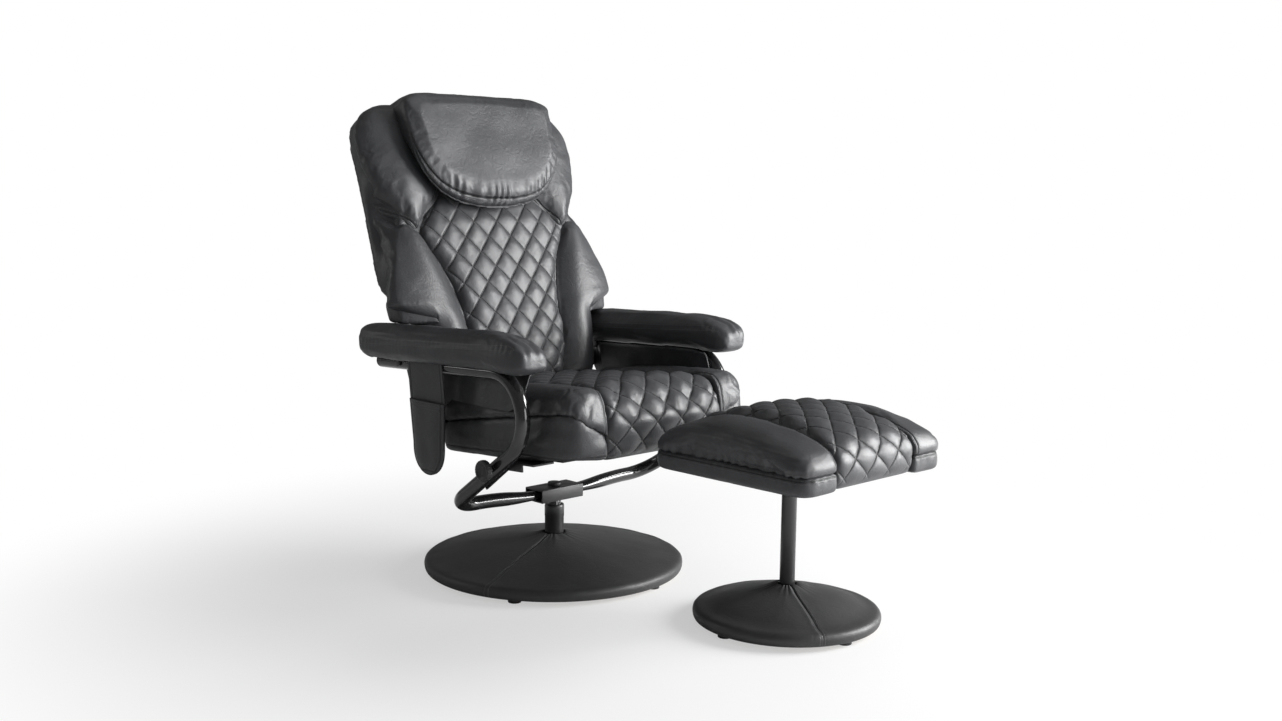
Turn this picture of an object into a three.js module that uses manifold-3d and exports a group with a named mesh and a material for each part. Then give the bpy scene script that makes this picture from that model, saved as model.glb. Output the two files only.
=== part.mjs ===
// Massage recliner on a round swivel base, with its matching ottoman.
// Millimetres, +Z up. The chair faces -Y, so the sitter's left hand is at +X.
// The group is shifted at the end so that its footprint is centred on the origin.
import * as THREE from 'three';
import { mergeVertices } from 'three/addons/utils/BufferGeometryUtils.js';
import Module from 'manifold-3d';

const wasm = await Module();
wasm.setup();

const rad = THREE.MathUtils.degToRad;
const TAU = 2 * Math.PI;
const FIT = 0.3; // clearance between pieces that touch

// ---------------------------------------------------------------- driving sizes

const base = {
  radius: 285, // to the outside of the rim
  hubZ: 85,
  hubRadius: 23,
  rimTopZ: 34,
  rimZ: 23,
  underZ: 9,
  skin: 3,
  boardThickness: 14,
  boardInset: 9,
  sides: 48,
  glides: 5,
  glideRadius: 14,
  glideInset: 26,
  glideTurn: -77, // degrees, direction of the first glide
};

const column = {
  sleeveRadius: 21,
  sleeveTopZ: 147,
  spindleRadius: 14.5,
  spindleFootZ: 34,
};

const yoke = {
  length: 118,
  width: 57,
  underZ: 160,
  height: 28,
  wall: 3,
  boltRadius: 5,
  capRadius: 15,
  capHeight: 8,
};

const tube = {
  radius: 15,
  wall: 2.5,
  halfSpan: 284, // side bends' planes from the centre
  crossZ: 182,
  cornerRadius: 65,
  slope: 35.5, // degrees of the front struts, which rise from the cross member
  hookRadius: 88,
  armZ: 475, // axis height of the arm run at y = 0
  armTilt: 2.4, // degrees, front end up
  rearY: 236,
  sides: 14,
  boreSides: 7,
  cornerSteps: 6,
  hookSteps: 10,
  flattenFrom: 135, // the cross member is flattened between these
};

const arm = {
  width: 90,
  frontY: -272,
  rearY: 274,
  lipZ: 6, // lowest edge above the tube's axis
  topZ: 83,
  noseDrop: 18,
  cant: 0.12, // rise of the top outwards
  boardThickness: 12,
  boardWidth: 40,
  grooveSlack: 4, // on each side of the board
  boardFrontY: -172,
  boardRearY: 246,
  grooveFrontY: -212,
  grooveRearY: 250,
};

const curtain = {
  thickness: 2.4,
  frontY: -214,
  rearY: 112,
  bottomZ: 402,
  topX: tube.halfSpan - 32,
  hangX: tube.halfSpan - 22.4,
  foldDepth: 1.8,
  drawnX: 4.8, // its rear is drawn inwards, clear of the recline plates
  drawnFromY: -10,
  drawnToY: 34,
};

const pocket = {
  frontY: -7,
  rearY: 112,
  strapLean: 11, // the strap's top lies further back
  bottomZ: 247,
  mouthZ: 400,
  depth: 12,
  cloth: 2.5,
};

const seat = {
  pitch: 3.6, // degrees, front edge up
  underZ: 293, // underside at the swivel axis
  frontY: -348,
  rearY: 66,
  halfWidth: tube.halfSpan - tube.radius - 15,
  cornerRadius: 46,
  quiltHalfWidth: 160,
  seamRear: 62, // side seam's height above the underside
  seamFront: 104,
  seamFoot: 6, // the seam falls across the front to this height beside the quilting
  seamFall: 0.92, // its slope there
  seamFallDepth: 52,
  topRear: 121,
  topFront: 133,
  apronDepth: 40, // quilt that hangs down the front
  lipRadius: 56,
  crown: 9,
  quiltPitch: 70,
  quiltDepth: 9,
  boardThickness: 10,
  boardInset: 46,
  motorY: -110,
};

const back = {
  lean: 22, // degrees from upright
  footY: 90,
  footZ: 430, // the front face passes this point
  bottom: -30,
  top: 629,
  foamDepth: 49.7,
  boardThickness: 10,
  boardInset: 10,
  coverThickness: 7,
  coverInset: 2,
  waist: 332, // where the upper and lower wings meet, at the quilted middle
  waistRise: 0.85, // slope of that seam outwards
  waistReach: 190, // how far from the seam the panels follow its slope
  upperCrown: 11,
  lowerCrown: 28,
  seamGap: 1.6, // between the quilted middle and the wings
  quiltCrown: 7,
  quiltPitchX: 66,
  quiltPitchS: 74,
  quiltDepth: 8,
};

// Half-widths by height up the back: of the wings in front, of the back's rear, and of
// the quilted middle. The flares pass over the arms, later at the rear than in front.
const wingOutline = [
  [-30, 162], [30, 200], [85, 226], [131, 234], [146, 262], [157, 298], [168, 317],
  [190, 322], [214, 315], [280, 288], [331, 262], [384, 240], [400, 252], [440, 276],
  [491, 292], [535, 300], [570, 296], [600, 276], [620, 254], [629, 230],
];
const rearOutline = [
  [-30, 162], [30, 200], [85, 226], [150, 233], [186, 234], [204, 266], [222, 286],
  [262, 290], [364, 286], [461, 281], [560, 280], [590, 272], [612, 255], [629, 226],
];
const quiltOutline = [
  [-30, 86], [30, 118], [80, 134], [160, 139], [205, 148], [264, 170], [322, 202],
  [344, 200], [378, 170], [410, 139], [440, 122], [520, 112], [629, 110],
];

const headrest = {
  halfWidth: 204,
  bottom: 374,
  sideRise: 150, // the lower edge rises this much towards the ends
  top: 649,
  thickness: 40,
  endThickness: 12,
  standOff: 13, // its back face from the front plane of the back
};

const recline = {
  pivotY: 157, // on the arm tube
  linkY: 100, // seat and back hinge, left open
  linkZ: 345,
  limit: 24, // degrees
  pinRadius: 5,
  plate: 4,
  plateX: tube.halfSpan - tube.radius - 6,
  linkPlay: 4.5,
  slideX: tube.halfSpan - tube.radius - 6.5,
  slideBoltY: -149,
  slideBoltRadius: 4,
  slideTravel: 58,
};

const knob = { radius: 21, neck: 10, reach: 21 };
const motor = { radius: 25, height: 20 };
const control = { length: 120, width: 84, height: 32, inletRadius: 8, inletReach: 14 };

const ottoman = {
  x: 96,
  y: -604,
  postX: 93,
  postY: -588,
  halfWidth: 215,
  halfDepth: 190,
  cornerRadius: 32,
  underZ: 313,
  seamZ: 347,
  topZ: 429,
  edgeZ: 378,
  quiltHalfWidth: 118,
  quiltPitch: 66,
  quiltDepth: 8,
  apronDepth: 26,
  baseRadius: 185,
  hubZ: 80,
  hubRadius: 17,
  postRadius: 15,
  plateSize: 150,
  plateThickness: 4,
  sides: 40,
  glides: 4,
  glideTurn: -97,
};

// ---------------------------------------------------------------- finishes

function finish(color, roughness, metalness = 0) {
  return () => new THREE.MeshStandardMaterial({ color, roughness, metalness });
}
const leather = finish(0x232427, 0.45);
const wrap = finish(0x1d1d1f, 0.6);
const gloss = finish(0x0c0c0d, 0.18, 0.6);
const steel = finish(0x18181a, 0.4, 0.6);
const plastic = finish(0x1b1b1d, 0.5);
const wood = finish(0xa98a5c, 0.7);

// ---------------------------------------------------------------- shaping helpers

function solidOf(geometry) {
  const bare = geometry.clone();
  bare.deleteAttribute('normal');
  bare.deleteAttribute('uv');
  const welded = mergeVertices(bare, 1e-4);
  return new wasm.Manifold(new wasm.Mesh({
    numProp: 3,
    vertProperties: new Float32Array(welded.attributes.position.array),
    triVerts: new Uint32Array(welded.index.array),
  }));
}

function geometryOf(solid) {
  const mesh = solid.getMesh();
  const geometry = new THREE.BufferGeometry();
  geometry.setAttribute('position', new THREE.BufferAttribute(mesh.vertProperties, 3));
  geometry.setIndex(new THREE.BufferAttribute(mesh.triVerts, 1));
  return geometry;
}

function cut(geometry, ...tools) {
  return geometryOf(tools.reduce((left, tool) => left.subtract(solidOf(tool)), solidOf(geometry)));
}

function keep(geometry, tool) {
  return geometryOf(solidOf(geometry).intersect(solidOf(tool)));
}

function join(geometry, ...others) {
  return geometryOf(others.reduce((whole, other) => whole.add(solidOf(other)), solidOf(geometry)));
}

function block(x0, x1, y0, y1, z0, z1) {
  const size = [Math.abs(x1 - x0), y1 - y0, z1 - z0];
  return new THREE.BoxGeometry(...size).translate((x0 + x1) / 2, (y0 + y1) / 2, (z0 + z1) / 2);
}

// Upright round rod or disc.
function disc(radius, z0, z1, sides = 24, x = 0, y = 0) {
  return new THREE.CylinderGeometry(radius, radius, z1 - z0, sides)
    .rotateX(Math.PI / 2)
    .translate(x, y, (z0 + z1) / 2);
}

// Rod along X between two places.
function rodX(radius, x0, x1, y, z, sides = 16) {
  return new THREE.CylinderGeometry(radius, radius, Math.abs(x1 - x0), sides)
    .rotateZ(Math.PI / 2)
    .translate((x0 + x1) / 2, y, z);
}

function outlineShape(points) {
  return new THREE.Shape(points.map(([a, b]) => new THREE.Vector2(a, b)));
}

// Plate whose outline lies in the YZ plane.
function plateX(shape, x0, x1) {
  const low = Math.min(x0, x1);
  const depth = Math.abs(x1 - x0);
  const turn = new THREE.Matrix4().makeBasis(
    new THREE.Vector3(0, 1, 0),
    new THREE.Vector3(0, 0, 1),
    new THREE.Vector3(1, 0, 0),
  );
  const plate = new THREE.ExtrudeGeometry(shape, { depth, bevelEnabled: false, curveSegments: 8 });
  return plate.applyMatrix4(turn).translate(low, 0, 0);
}

// Panel whose outline lies in the XZ plane, between two depths along Y.
function panelY(shape, y0, y1) {
  return new THREE.ExtrudeGeometry(shape, { depth: y1 - y0, bevelEnabled: false, curveSegments: 8 })
    .rotateX(Math.PI / 2)
    .translate(0, y1, 0);
}

// Closed body through rings of equally many points, with flat ends.
// Each facet is split along its lower diagonal, so that channels stay sharp.
function loft(rings) {
  const count = rings[0].length;
  const positions = rings.flat().flatMap((p) => [p.x, p.y, p.z]);
  const index = [];
  const core = new THREE.Vector3();
  rings.flat().forEach((p) => core.add(p));
  core.divideScalar(rings.length * count);
  const reach = (p, q) => p.clone().add(q).multiplyScalar(0.5).distanceTo(core);
  for (let i = 0; i + 1 < rings.length; i += 1) {
    for (let j = 0; j < count; j += 1) {
      const k = (j + 1) % count;
      const [a, b, c, d] = [i * count + j, i * count + k, (i + 1) * count + k, (i + 1) * count + j];
      const low = reach(rings[i][j], rings[i + 1][k]) < reach(rings[i][k], rings[i + 1][j]);
      index.push(...(low ? [a, b, c, a, c, d] : [a, b, d, b, c, d]));
    }
  }
  [0, rings.length - 1].forEach((end) => {
    const middle = rings[end].reduce((sum, p) => sum.add(p), new THREE.Vector3()).divideScalar(count);
    positions.push(middle.x, middle.y, middle.z);
    const centre = positions.length / 3 - 1;
    for (let j = 0; j < count; j += 1) {
      const a = end * count + j;
      const b = end * count + ((j + 1) % count);
      index.push(...(end === 0 ? [b, a, centre] : [a, b, centre]));
    }
  });
  let volume = 0;
  const at = (i) => new THREE.Vector3().fromArray(positions, 3 * i);
  for (let t = 0; t < index.length; t += 3) {
    volume += at(index[t]).dot(at(index[t + 1]).cross(at(index[t + 2])));
  }
  if (volume < 0) index.reverse();
  const geometry = new THREE.BufferGeometry();
  geometry.setAttribute('position', new THREE.Float32BufferAttribute(positions, 3));
  geometry.setIndex(index);
  return geometry;
}

// Value between the listed stations, eased so that the outline has no corners.
function along(stations, at) {
  const last = stations.length - 1;
  if (at <= stations[0][0]) return stations[0][1];
  if (at >= stations[last][0]) return stations[last][1];
  const i = stations.findIndex(([place]) => place > at) - 1;
  const [p0, p1] = [stations[i], stations[i + 1]];
  const t = (at - p0[0]) / (p1[0] - p0[0]);
  const slope = (k) => {
    const [a, b] = [stations[Math.max(0, k - 1)], stations[Math.min(last, k + 1)]];
    return (b[1] - a[1]) / (b[0] - a[0]);
  };
  const step = p1[0] - p0[0];
  const [m0, m1] = [slope(i) * step, slope(i + 1) * step];
  return (2 * t ** 3 - 3 * t ** 2 + 1) * p0[1] + (t ** 3 - 2 * t ** 2 + t) * m0
    + (3 * t ** 2 - 2 * t ** 3) * p1[1] + (t ** 3 - t ** 2) * m1;
}

function range(from, to, steps) {
  return Array.from({ length: steps + 1 }, (_, i) => from + ((to - from) * i) / steps);
}

// Height of diamond quilting: nothing on the stitched lines, full in each middle.
function quilting(a, b, pitchA, pitchB, depth) {
  const u = Math.abs(Math.sin(Math.PI * (a / pitchA + b / pitchB)));
  const v = Math.abs(Math.sin(Math.PI * (a / pitchA - b / pitchB)));
  return depth * Math.sqrt(u * v);
}

// Quarter-round shoulder: 0 at the edge and 1 from a radius inwards.
function shoulder(distance, radius) {
  const t = Math.min(1, Math.max(0, distance / radius));
  return Math.sqrt(1 - (1 - t) ** 2);
}

const sideName = (side) => (side > 0 ? 'left' : 'right');
const SIDES = [1, -1];

// ---------------------------------------------------------------- assembly helpers

const chair = new THREE.Group();

function place(parent, name, geometry, material) {
  const mesh = new THREE.Mesh(geometry, material());
  mesh.name = name;
  parent.add(mesh);
  return mesh;
}

const seatFrame = new THREE.Group();
seatFrame.position.set(0, 0, seat.underZ);
seatFrame.rotation.x = -rad(seat.pitch);

const backFrame = new THREE.Group();
backFrame.position.set(0, back.footY, back.footZ);
backFrame.rotation.x = -rad(back.lean);

const armFrame = new THREE.Group();
armFrame.position.set(0, 0, tube.armZ);
armFrame.rotation.x = -rad(tube.armTilt);
chair.add(seatFrame, backFrame, armFrame);
chair.updateMatrixWorld(true);

// A place (y, z) of the whole chair, seen in a tilted frame.
function localYZ(frame, y, z) {
  const point = frame.worldToLocal(new THREE.Vector3(0, y, z));
  return [point.y, point.z];
}

const armAxisZ = (y) => tube.armZ - Math.tan(rad(tube.armTilt)) * y;
const strutZ = (y) => tube.crossZ - Math.tan(rad(tube.slope)) * y;
const pivot = [recline.pivotY, armAxisZ(recline.pivotY)];
const slideBolt = [recline.slideBoltY, strutZ(recline.slideBoltY)];

// ---------------------------------------------------------------- round bases

function baseCover(radius, hubRadius, hubZ, sides) {
  const { rimTopZ, rimZ, underZ, skin } = base;
  const profile = [
    [hubRadius, hubZ],
    [hubRadius + 16, hubZ - 4],
    [radius * 0.45, hubZ - (hubZ - rimTopZ) * 0.42],
    [radius - 14, rimTopZ + 1],
    [radius - 5, rimTopZ - 2],
    [radius, rimZ],
    [radius - 3, underZ + 1],
    [radius - base.boardInset, underZ],
    [radius - base.boardInset + 0.2, rimZ + skin],
    [radius - 14, rimTopZ - skin],
    [radius * 0.45, hubZ - skin - (hubZ - rimTopZ) * 0.42],
    [hubRadius, hubZ - skin - 2],
    [hubRadius, hubZ],
  ];
  const points = profile.map(([r, z]) => new THREE.Vector2(r, z)).reverse();
  return new THREE.LatheGeometry(points, sides).rotateX(Math.PI / 2);
}

function roundBase(prefix, radius, hub, hubZ, sides, count, turn, centre) {
  const boardRadius = radius - base.boardInset - FIT;
  const [x, y] = centre;
  const boardTop = base.underZ + base.boardThickness;
  place(chair, `${prefix}base_cover`, baseCover(radius, hub, hubZ, sides).translate(x, y, 0), wrap);
  place(chair, `${prefix}base_board`, disc(boardRadius, base.underZ, boardTop, sides, x, y), wood);
  for (let i = 0; i < count; i += 1) {
    const angle = rad(turn) + (i * TAU) / count;
    const reach = radius - base.glideInset;
    const foot = disc(
      base.glideRadius, 0, base.underZ - FIT, 12,
      x + reach * Math.cos(angle), y + reach * Math.sin(angle),
    );
    place(chair, `${prefix}glide_${i + 1}`, foot, plastic);
  }
}

roundBase('', base.radius, base.hubRadius, base.hubZ, base.sides, base.glides, base.glideTurn, [0, 0]);

// ---------------------------------------------------------------- column and yoke

const boardTopZ = base.underZ + base.boardThickness;
const sleeve = cut(
  disc(column.sleeveRadius, boardTopZ + FIT, column.sleeveTopZ, 24),
  disc(column.spindleRadius + FIT, boardTopZ + 6, column.sleeveTopZ + 1, 24),
);
place(chair, 'column_sleeve', sleeve, steel);

const yokeTopZ = yoke.underZ + yoke.height;
const spindle = disc(column.spindleRadius, column.spindleFootZ, yoke.underZ - FIT, 24);
place(chair, 'spindle', spindle, gloss);

function yokeBracket() {
  const { length, width, underZ, wall } = yoke;
  const outer = block(-length / 2, length / 2, -width / 2, width / 2, underZ, yokeTopZ);
  const tunnel = block(
    -length, length, -width / 2 + wall, width / 2 - wall, underZ + wall, yokeTopZ - wall,
  );
  return cut(outer, tunnel, disc(yoke.boltRadius + FIT, underZ - 1, yokeTopZ + 1, 16));
}
place(chair, 'yoke_bracket', yokeBracket(), gloss);

const yokeBolt = join(
  disc(yoke.boltRadius, yoke.underZ + FIT, yokeTopZ + 1, 16),
  disc(yoke.capRadius, yokeTopZ + FIT, yokeTopZ + yoke.capHeight, 20),
);
place(chair, 'yoke_bolt', yokeBolt, plastic);

// ---------------------------------------------------------------- bent tube frame

// A path through given ring centres, so that only the bends are finely divided.
class RingPath extends THREE.Curve {
  constructor(centres) {
    super();
    this.centres = centres;
  }

  getPoint(t, target = new THREE.Vector3()) {
    return target.copy(this.centres[Math.round(t * (this.centres.length - 1))]);
  }

  getPointAt(u, target) {
    return this.getPoint(u, target);
  }

  getTangentAt(u, target = new THREE.Vector3()) {
    const i = Math.round(u * (this.centres.length - 1));
    const before = this.centres[Math.max(0, i - 1)];
    const after = this.centres[Math.min(this.centres.length - 1, i + 1)];
    const here = this.centres[i];
    const ahead = after.clone().sub(here).normalize();
    const behind = here.clone().sub(before).normalize();
    return target.copy(ahead).add(behind).normalize();
  }
}

// Half of the frame's axis, from the middle of the cross member to the arm's rear end.
function halfAxis(side) {
  const { halfSpan, crossZ, cornerRadius, hookRadius, slope } = tube;
  const upward = new THREE.Vector3(0, -Math.cos(rad(slope)), Math.sin(rad(slope)));
  const corner = new THREE.Vector3(side * halfSpan, 0, crossZ);
  const inward = new THREE.Vector3(-side, 0, 0);
  const points = [];
  [yoke.length / 2 + 3, yoke.length / 2 + 18, yoke.length / 2 + 42, tube.flattenFrom].forEach((x) => {
    points.push(new THREE.Vector3(side * x, 0, crossZ));
  });
  // lower corner: a quarter bend from the cross member into the strut
  const bendCentre = corner.clone()
    .addScaledVector(inward, cornerRadius)
    .addScaledVector(upward, cornerRadius);
  range(0, 90, tube.cornerSteps).forEach((angle) => {
    points.push(bendCentre.clone()
      .addScaledVector(upward, -cornerRadius * Math.cos(rad(angle)))
      .addScaledVector(inward, -cornerRadius * Math.sin(rad(angle))));
  });
  // hook: from the strut, over the front, back into the arm run
  const strutNormal = new THREE.Vector2(Math.sin(rad(slope)), Math.cos(rad(slope)));
  const strutOffset = strutNormal.y * crossZ;
  const tilt = rad(tube.armTilt);
  const runNormal = new THREE.Vector2(Math.sin(tilt), Math.cos(tilt));
  const runOffset = runNormal.y * tube.armZ;
  const determinant = strutNormal.x * runNormal.y - strutNormal.y * runNormal.x;
  const [p, q] = [strutOffset + hookRadius, runOffset - hookRadius];
  const centreY = (p * runNormal.y - q * strutNormal.y) / determinant;
  const centreZ = (strutNormal.x * q - runNormal.x * p) / determinant;
  const from = -90 - slope;
  const to = -270 - tube.armTilt;
  range(from, to, tube.hookSteps).forEach((angle) => {
    const y = centreY + hookRadius * Math.cos(rad(angle));
    const z = centreZ + hookRadius * Math.sin(rad(angle));
    points.push(new THREE.Vector3(side * halfSpan, y, z));
  });
  points.push(new THREE.Vector3(side * halfSpan, tube.rearY, armAxisZ(tube.rearY)));
  return points;
}

function frameAxis() {
  return [...halfAxis(-1).reverse(), ...halfAxis(1)];
}

function ringShape(outer, inner, sides, boreSides) {
  const circle = (radius, count, Kind) => new Kind(range(0, TAU, count).slice(0, -1)
    .map((angle) => new THREE.Vector2(radius * Math.cos(angle), radius * Math.sin(angle))));
  const shape = circle(outer, sides, THREE.Shape);
  if (inner) shape.holes.push(circle(inner, boreSides, THREE.Path));
  return shape;
}

// The yoke grips a flattened stretch of the cross member.
function flatten(geometry) {
  const positions = geometry.attributes.position;
  const gripHeight = yoke.height - 2 * yoke.wall - 2 * FIT;
  const gripZ = yoke.underZ + yoke.height / 2;
  for (let i = 0; i < positions.count; i += 1) {
    const x = Math.abs(positions.getX(i));
    const z = positions.getZ(i);
    if (x < tube.flattenFrom && z < tube.crossZ + 2 * tube.radius) {
      const share = Math.min(1, (tube.flattenFrom - x) / (tube.flattenFrom - yoke.length / 2 - 3));
      const eased = share * share * (3 - 2 * share);
      const squash = 1 + eased * (gripHeight / (2 * tube.radius) - 1);
      const middle = tube.crossZ + eased * (gripZ - tube.crossZ);
      positions.setZ(i, middle + (z - tube.crossZ) * squash);
    }
  }
  return geometry;
}

function frameTube() {
  const axis = frameAxis();
  const shape = ringShape(tube.radius, tube.radius - tube.wall, tube.sides, tube.boreSides);
  const bent = new THREE.ExtrudeGeometry(shape, {
    steps: axis.length - 1,
    extrudePath: new RingPath(axis),
    curveSegments: 1,
  });
  const holes = SIDES.flatMap((side) => [
    rodX(recline.pinRadius + FIT, side * recline.plateX, side * (tube.halfSpan + 30), ...pivot, 12),
    rodX(recline.slideBoltRadius + FIT, side * recline.slideX, side * (tube.halfSpan + 30), ...slideBolt, 12),
  ]);
  holes.push(disc(yoke.boltRadius + FIT, 140, 220, 16));
  return cut(flatten(bent), ...holes);
}
place(chair, 'frame_tube', frameTube(), gloss);

// ---------------------------------------------------------------- arms

const [tubeEndY] = localYZ(armFrame, tube.rearY, armAxisZ(tube.rearY));

function tubePlug(side) {
  const head = rodXtoY(tube.radius, side * tube.halfSpan, tubeEndY + FIT, tubeEndY + 5);
  const stem = rodXtoY(tube.radius - tube.wall - 1.6, side * tube.halfSpan, tubeEndY - 14, tubeEndY + 2);
  return join(head, stem);
}

function rodXtoY(radius, x, y0, y1) {
  return new THREE.CylinderGeometry(radius, radius, y1 - y0, 16).translate(x, (y0 + y1) / 2, 0);
}

const boardUnder = tube.radius + FIT;
const boardOver = boardUnder + arm.boardThickness;

function armBoard(side) {
  const half = arm.boardWidth / 2;
  const x = side * tube.halfSpan;
  return block(x - half, x + half, arm.boardFrontY, arm.boardRearY, boardUnder, boardOver);
}

const noseDroop = (y) => arm.noseDrop * Math.max(0, 1 - (y - arm.frontY) / 150) ** 2;

function armPad(side) {
  const middleX = side * (tube.halfSpan + 0.5);
  const length = arm.rearY - arm.frontY;
  const spread = [0, 0.012, 0.035, 0.075, 0.13, 0.2, 0.32, 0.5, 0.68, 0.82, 0.9, 0.95, 0.98, 1];
  const rings = spread.map((share) => {
    const y = arm.frontY + share * length;
    const fromFront = y - arm.frontY;
    const fromRear = arm.rearY - y;
    const swell = Math.min(shoulder(fromFront + 1.5, 70), shoulder(fromRear + 1.5, 34));
    const narrow = Math.min(shoulder(fromFront + 3, 46), shoulder(fromRear + 3, 26));
    const height = (arm.topZ - arm.lipZ) * (0.22 + 0.78 * swell);
    const halfWidth = (arm.width / 2) * (0.45 + 0.55 * narrow);
    const middleZ = (arm.topZ + arm.lipZ) / 2 - noseDroop(y);
    return range(0, TAU, 16).slice(0, -1).map((angle) => {
      const [c, s] = [Math.cos(angle + 0.2), Math.sin(angle + 0.2)];
      const power = s > 0 ? 0.62 : 0.42;
      const out = halfWidth * Math.sign(c) * Math.abs(c) ** power;
      const lift = s > 0 ? arm.cant * out * side * s : 0;
      const z = middleZ + (height / 2) * Math.sign(s) * Math.abs(s) ** power + lift;
      return new THREE.Vector3(middleX + out, y, z);
    });
  });
  const half = arm.boardWidth / 2 + arm.grooveSlack;
  const x = side * tube.halfSpan;
  const groove = block(x - half, x + half, arm.grooveFrontY, arm.grooveRearY, -30, boardOver + FIT);
  return cut(loft(rings), groove);
}

// Panel of leather that hangs from the arm's inner edge to below the seat's top.
function armCurtain(side) {
  const rings = range(curtain.frontY, curtain.rearY, 18).map((y, i, all) => {
    const share = i / (all.length - 1);
    const fold = curtain.foldDepth * (1 - share) * Math.sin(i * 1.9);
    const topZ = armAxisZ(y) + arm.lipZ + 2 * FIT - noseDroop(y);
    const lift = 44 * Math.max(0, 1 - share / 0.16) ** 1.5;
    const drawn = curtain.drawnX * shoulder(y - curtain.drawnFromY, curtain.drawnToY - curtain.drawnFromY);
    const hangX = curtain.hangX - drawn;
    const levels = [
      [curtain.bottomZ + lift, hangX],
      [442 + lift * 0.3, hangX],
      [462, hangX - 6 + drawn / 2],
      [topZ, curtain.topX],
    ];
    const outside = levels.map(([z, x]) => [z, x + curtain.thickness + fold]);
    const inside = levels.map(([z, x]) => [z, x + fold]).reverse();
    return [...outside, ...inside].map(([z, x]) => new THREE.Vector3(side * x, y, z));
  });
  return loft(rings);
}

SIDES.forEach((side) => {
  const hand = sideName(side);
  place(armFrame, `tube_plug_${hand}`, tubePlug(side), plastic);
  place(armFrame, `arm_board_${hand}`, armBoard(side), wood);
  place(armFrame, `arm_pad_${hand}`, armPad(side), leather);
  place(chair, `arm_curtain_${hand}`, armCurtain(side), leather);
});

// ---------------------------------------------------------------- side pocket

function pocketOutline(inset, topZ) {
  const { frontY, rearY, bottomZ, mouthZ } = pocket;
  const [y0, y1, z0] = [frontY + inset, rearY - inset, bottomZ + inset];
  const taper = 13;
  const lean = topZ > mouthZ + 2 ? pocket.strapLean : 0;
  const shape = new THREE.Shape();
  shape.moveTo(y0 + lean, topZ);
  shape.lineTo(y0, mouthZ);
  shape.lineTo(y0 + 2, z0 + 62);
  shape.bezierCurveTo(y0 + 2, z0 + 18, y0 + 20, z0, (y0 + y1 - taper) / 2, z0);
  shape.bezierCurveTo(y1 - taper - 20, z0, y1 - taper, z0 + 18, y1 - taper, z0 + 62);
  shape.lineTo(y1, mouthZ);
  shape.lineTo(y1 + lean, topZ);
  shape.closePath();
  return shape;
}

function sidePocket() {
  const near = -(tube.halfSpan + tube.radius + FIT);
  const strapTop = tube.armZ + boardUnder - 7;
  const sheet = plateX(pocketOutline(0, strapTop), near - pocket.cloth, near);
  const pouch = plateX(pocketOutline(0, pocket.mouthZ), near - pocket.depth, near);
  const hollow = plateX(
    pocketOutline(pocket.cloth + 1, pocket.mouthZ + 1),
    near - pocket.depth + pocket.cloth,
    near - pocket.cloth,
  );
  return join(sheet, cut(pouch, hollow));
}
place(chair, 'side_pocket', sidePocket(), leather);

// ---------------------------------------------------------------- seat

const seamAt = (y) => {
  const share = (seat.rearY - y) / (seat.rearY - seat.frontY);
  return seat.seamRear + (seat.seamFront - seat.seamRear) * share;
};

// Where the rounded plan of a cushion ends at a distance x from its middle.
function planEdge(x, half, depth, radius) {
  const over = Math.max(0, Math.abs(x) - (half - radius));
  return depth - radius + Math.sqrt(Math.max(0, radius ** 2 - over ** 2));
}

// Height of the seam between box and bolster, at a distance from the quilted middle.
function seamBeside(y, away) {
  const fallen = seat.seamFoot + seat.seamFall * away;
  return fallen + (seamAt(y) - fallen) * shoulder(y - seat.frontY, seat.seamFallDepth);
}

// Distances from the front edge at which the bolster's front is drawn.
const bolsterFront = [2, 7, 16, 30, 52];

// What the bolster's front takes out of the box.
function seatTrough(side) {
  const inner = seat.quiltHalfWidth - 1;
  const outer = seat.halfWidth + 20;
  const rings = [-20, 0, ...bolsterFront].map((ahead) => {
    const y = seat.frontY + ahead;
    const section = [
      [inner, seamBeside(y, -1)], [outer, seamBeside(y, outer - seat.quiltHalfWidth)],
      [outer, 200], [inner, 200],
    ];
    return section.map(([x, z]) => new THREE.Vector3(side * x, y, z));
  });
  return loft(rings);
}

// All that lies above the level seam.
function seatLid() {
  const [front, rear] = [seat.frontY - 20, seat.rearY + 20];
  const side = [[front, seamAt(front)], [rear, seamAt(rear)], [rear, 200], [front, 200]];
  return plateX(outlineShape(side), -seat.halfWidth - 20, seat.halfWidth + 20);
}

function seatBox() {
  const { halfWidth, frontY, rearY, cornerRadius, quiltHalfWidth, apronDepth } = seat;
  const notch = quiltHalfWidth + FIT;
  const apronRear = frontY + apronDepth;
  const shape = new THREE.Shape();
  shape.moveTo(-halfWidth, rearY);
  shape.lineTo(-halfWidth, frontY + cornerRadius);
  shape.absarc(-halfWidth + cornerRadius, frontY + cornerRadius, cornerRadius, Math.PI, 1.5 * Math.PI);
  shape.lineTo(-notch, frontY);
  shape.lineTo(-notch, apronRear);
  shape.lineTo(notch, apronRear);
  shape.lineTo(notch, frontY);
  shape.absarc(halfWidth - cornerRadius, frontY + cornerRadius, cornerRadius, 1.5 * Math.PI, TAU);
  shape.lineTo(halfWidth, rearY);
  shape.closePath();
  const drawnIn = 5;
  const body = new THREE.ExtrudeGeometry(shape, {
    depth: seat.seamFront + 30,
    bevelEnabled: true,
    bevelSize: drawnIn,
    bevelThickness: 8,
    bevelOffset: -drawnIn,
    bevelSegments: 2,
    curveSegments: 6,
  }).translate(0, 0, 8);
  return cut(body, seatLid(), ...SIDES.map(seatTrough));
}

const seatTopAt = (y) => {
  const share = (seat.rearY - y) / (seat.rearY - seat.frontY);
  return seat.topRear + (seat.topFront - seat.topRear) * share;
};

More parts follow.
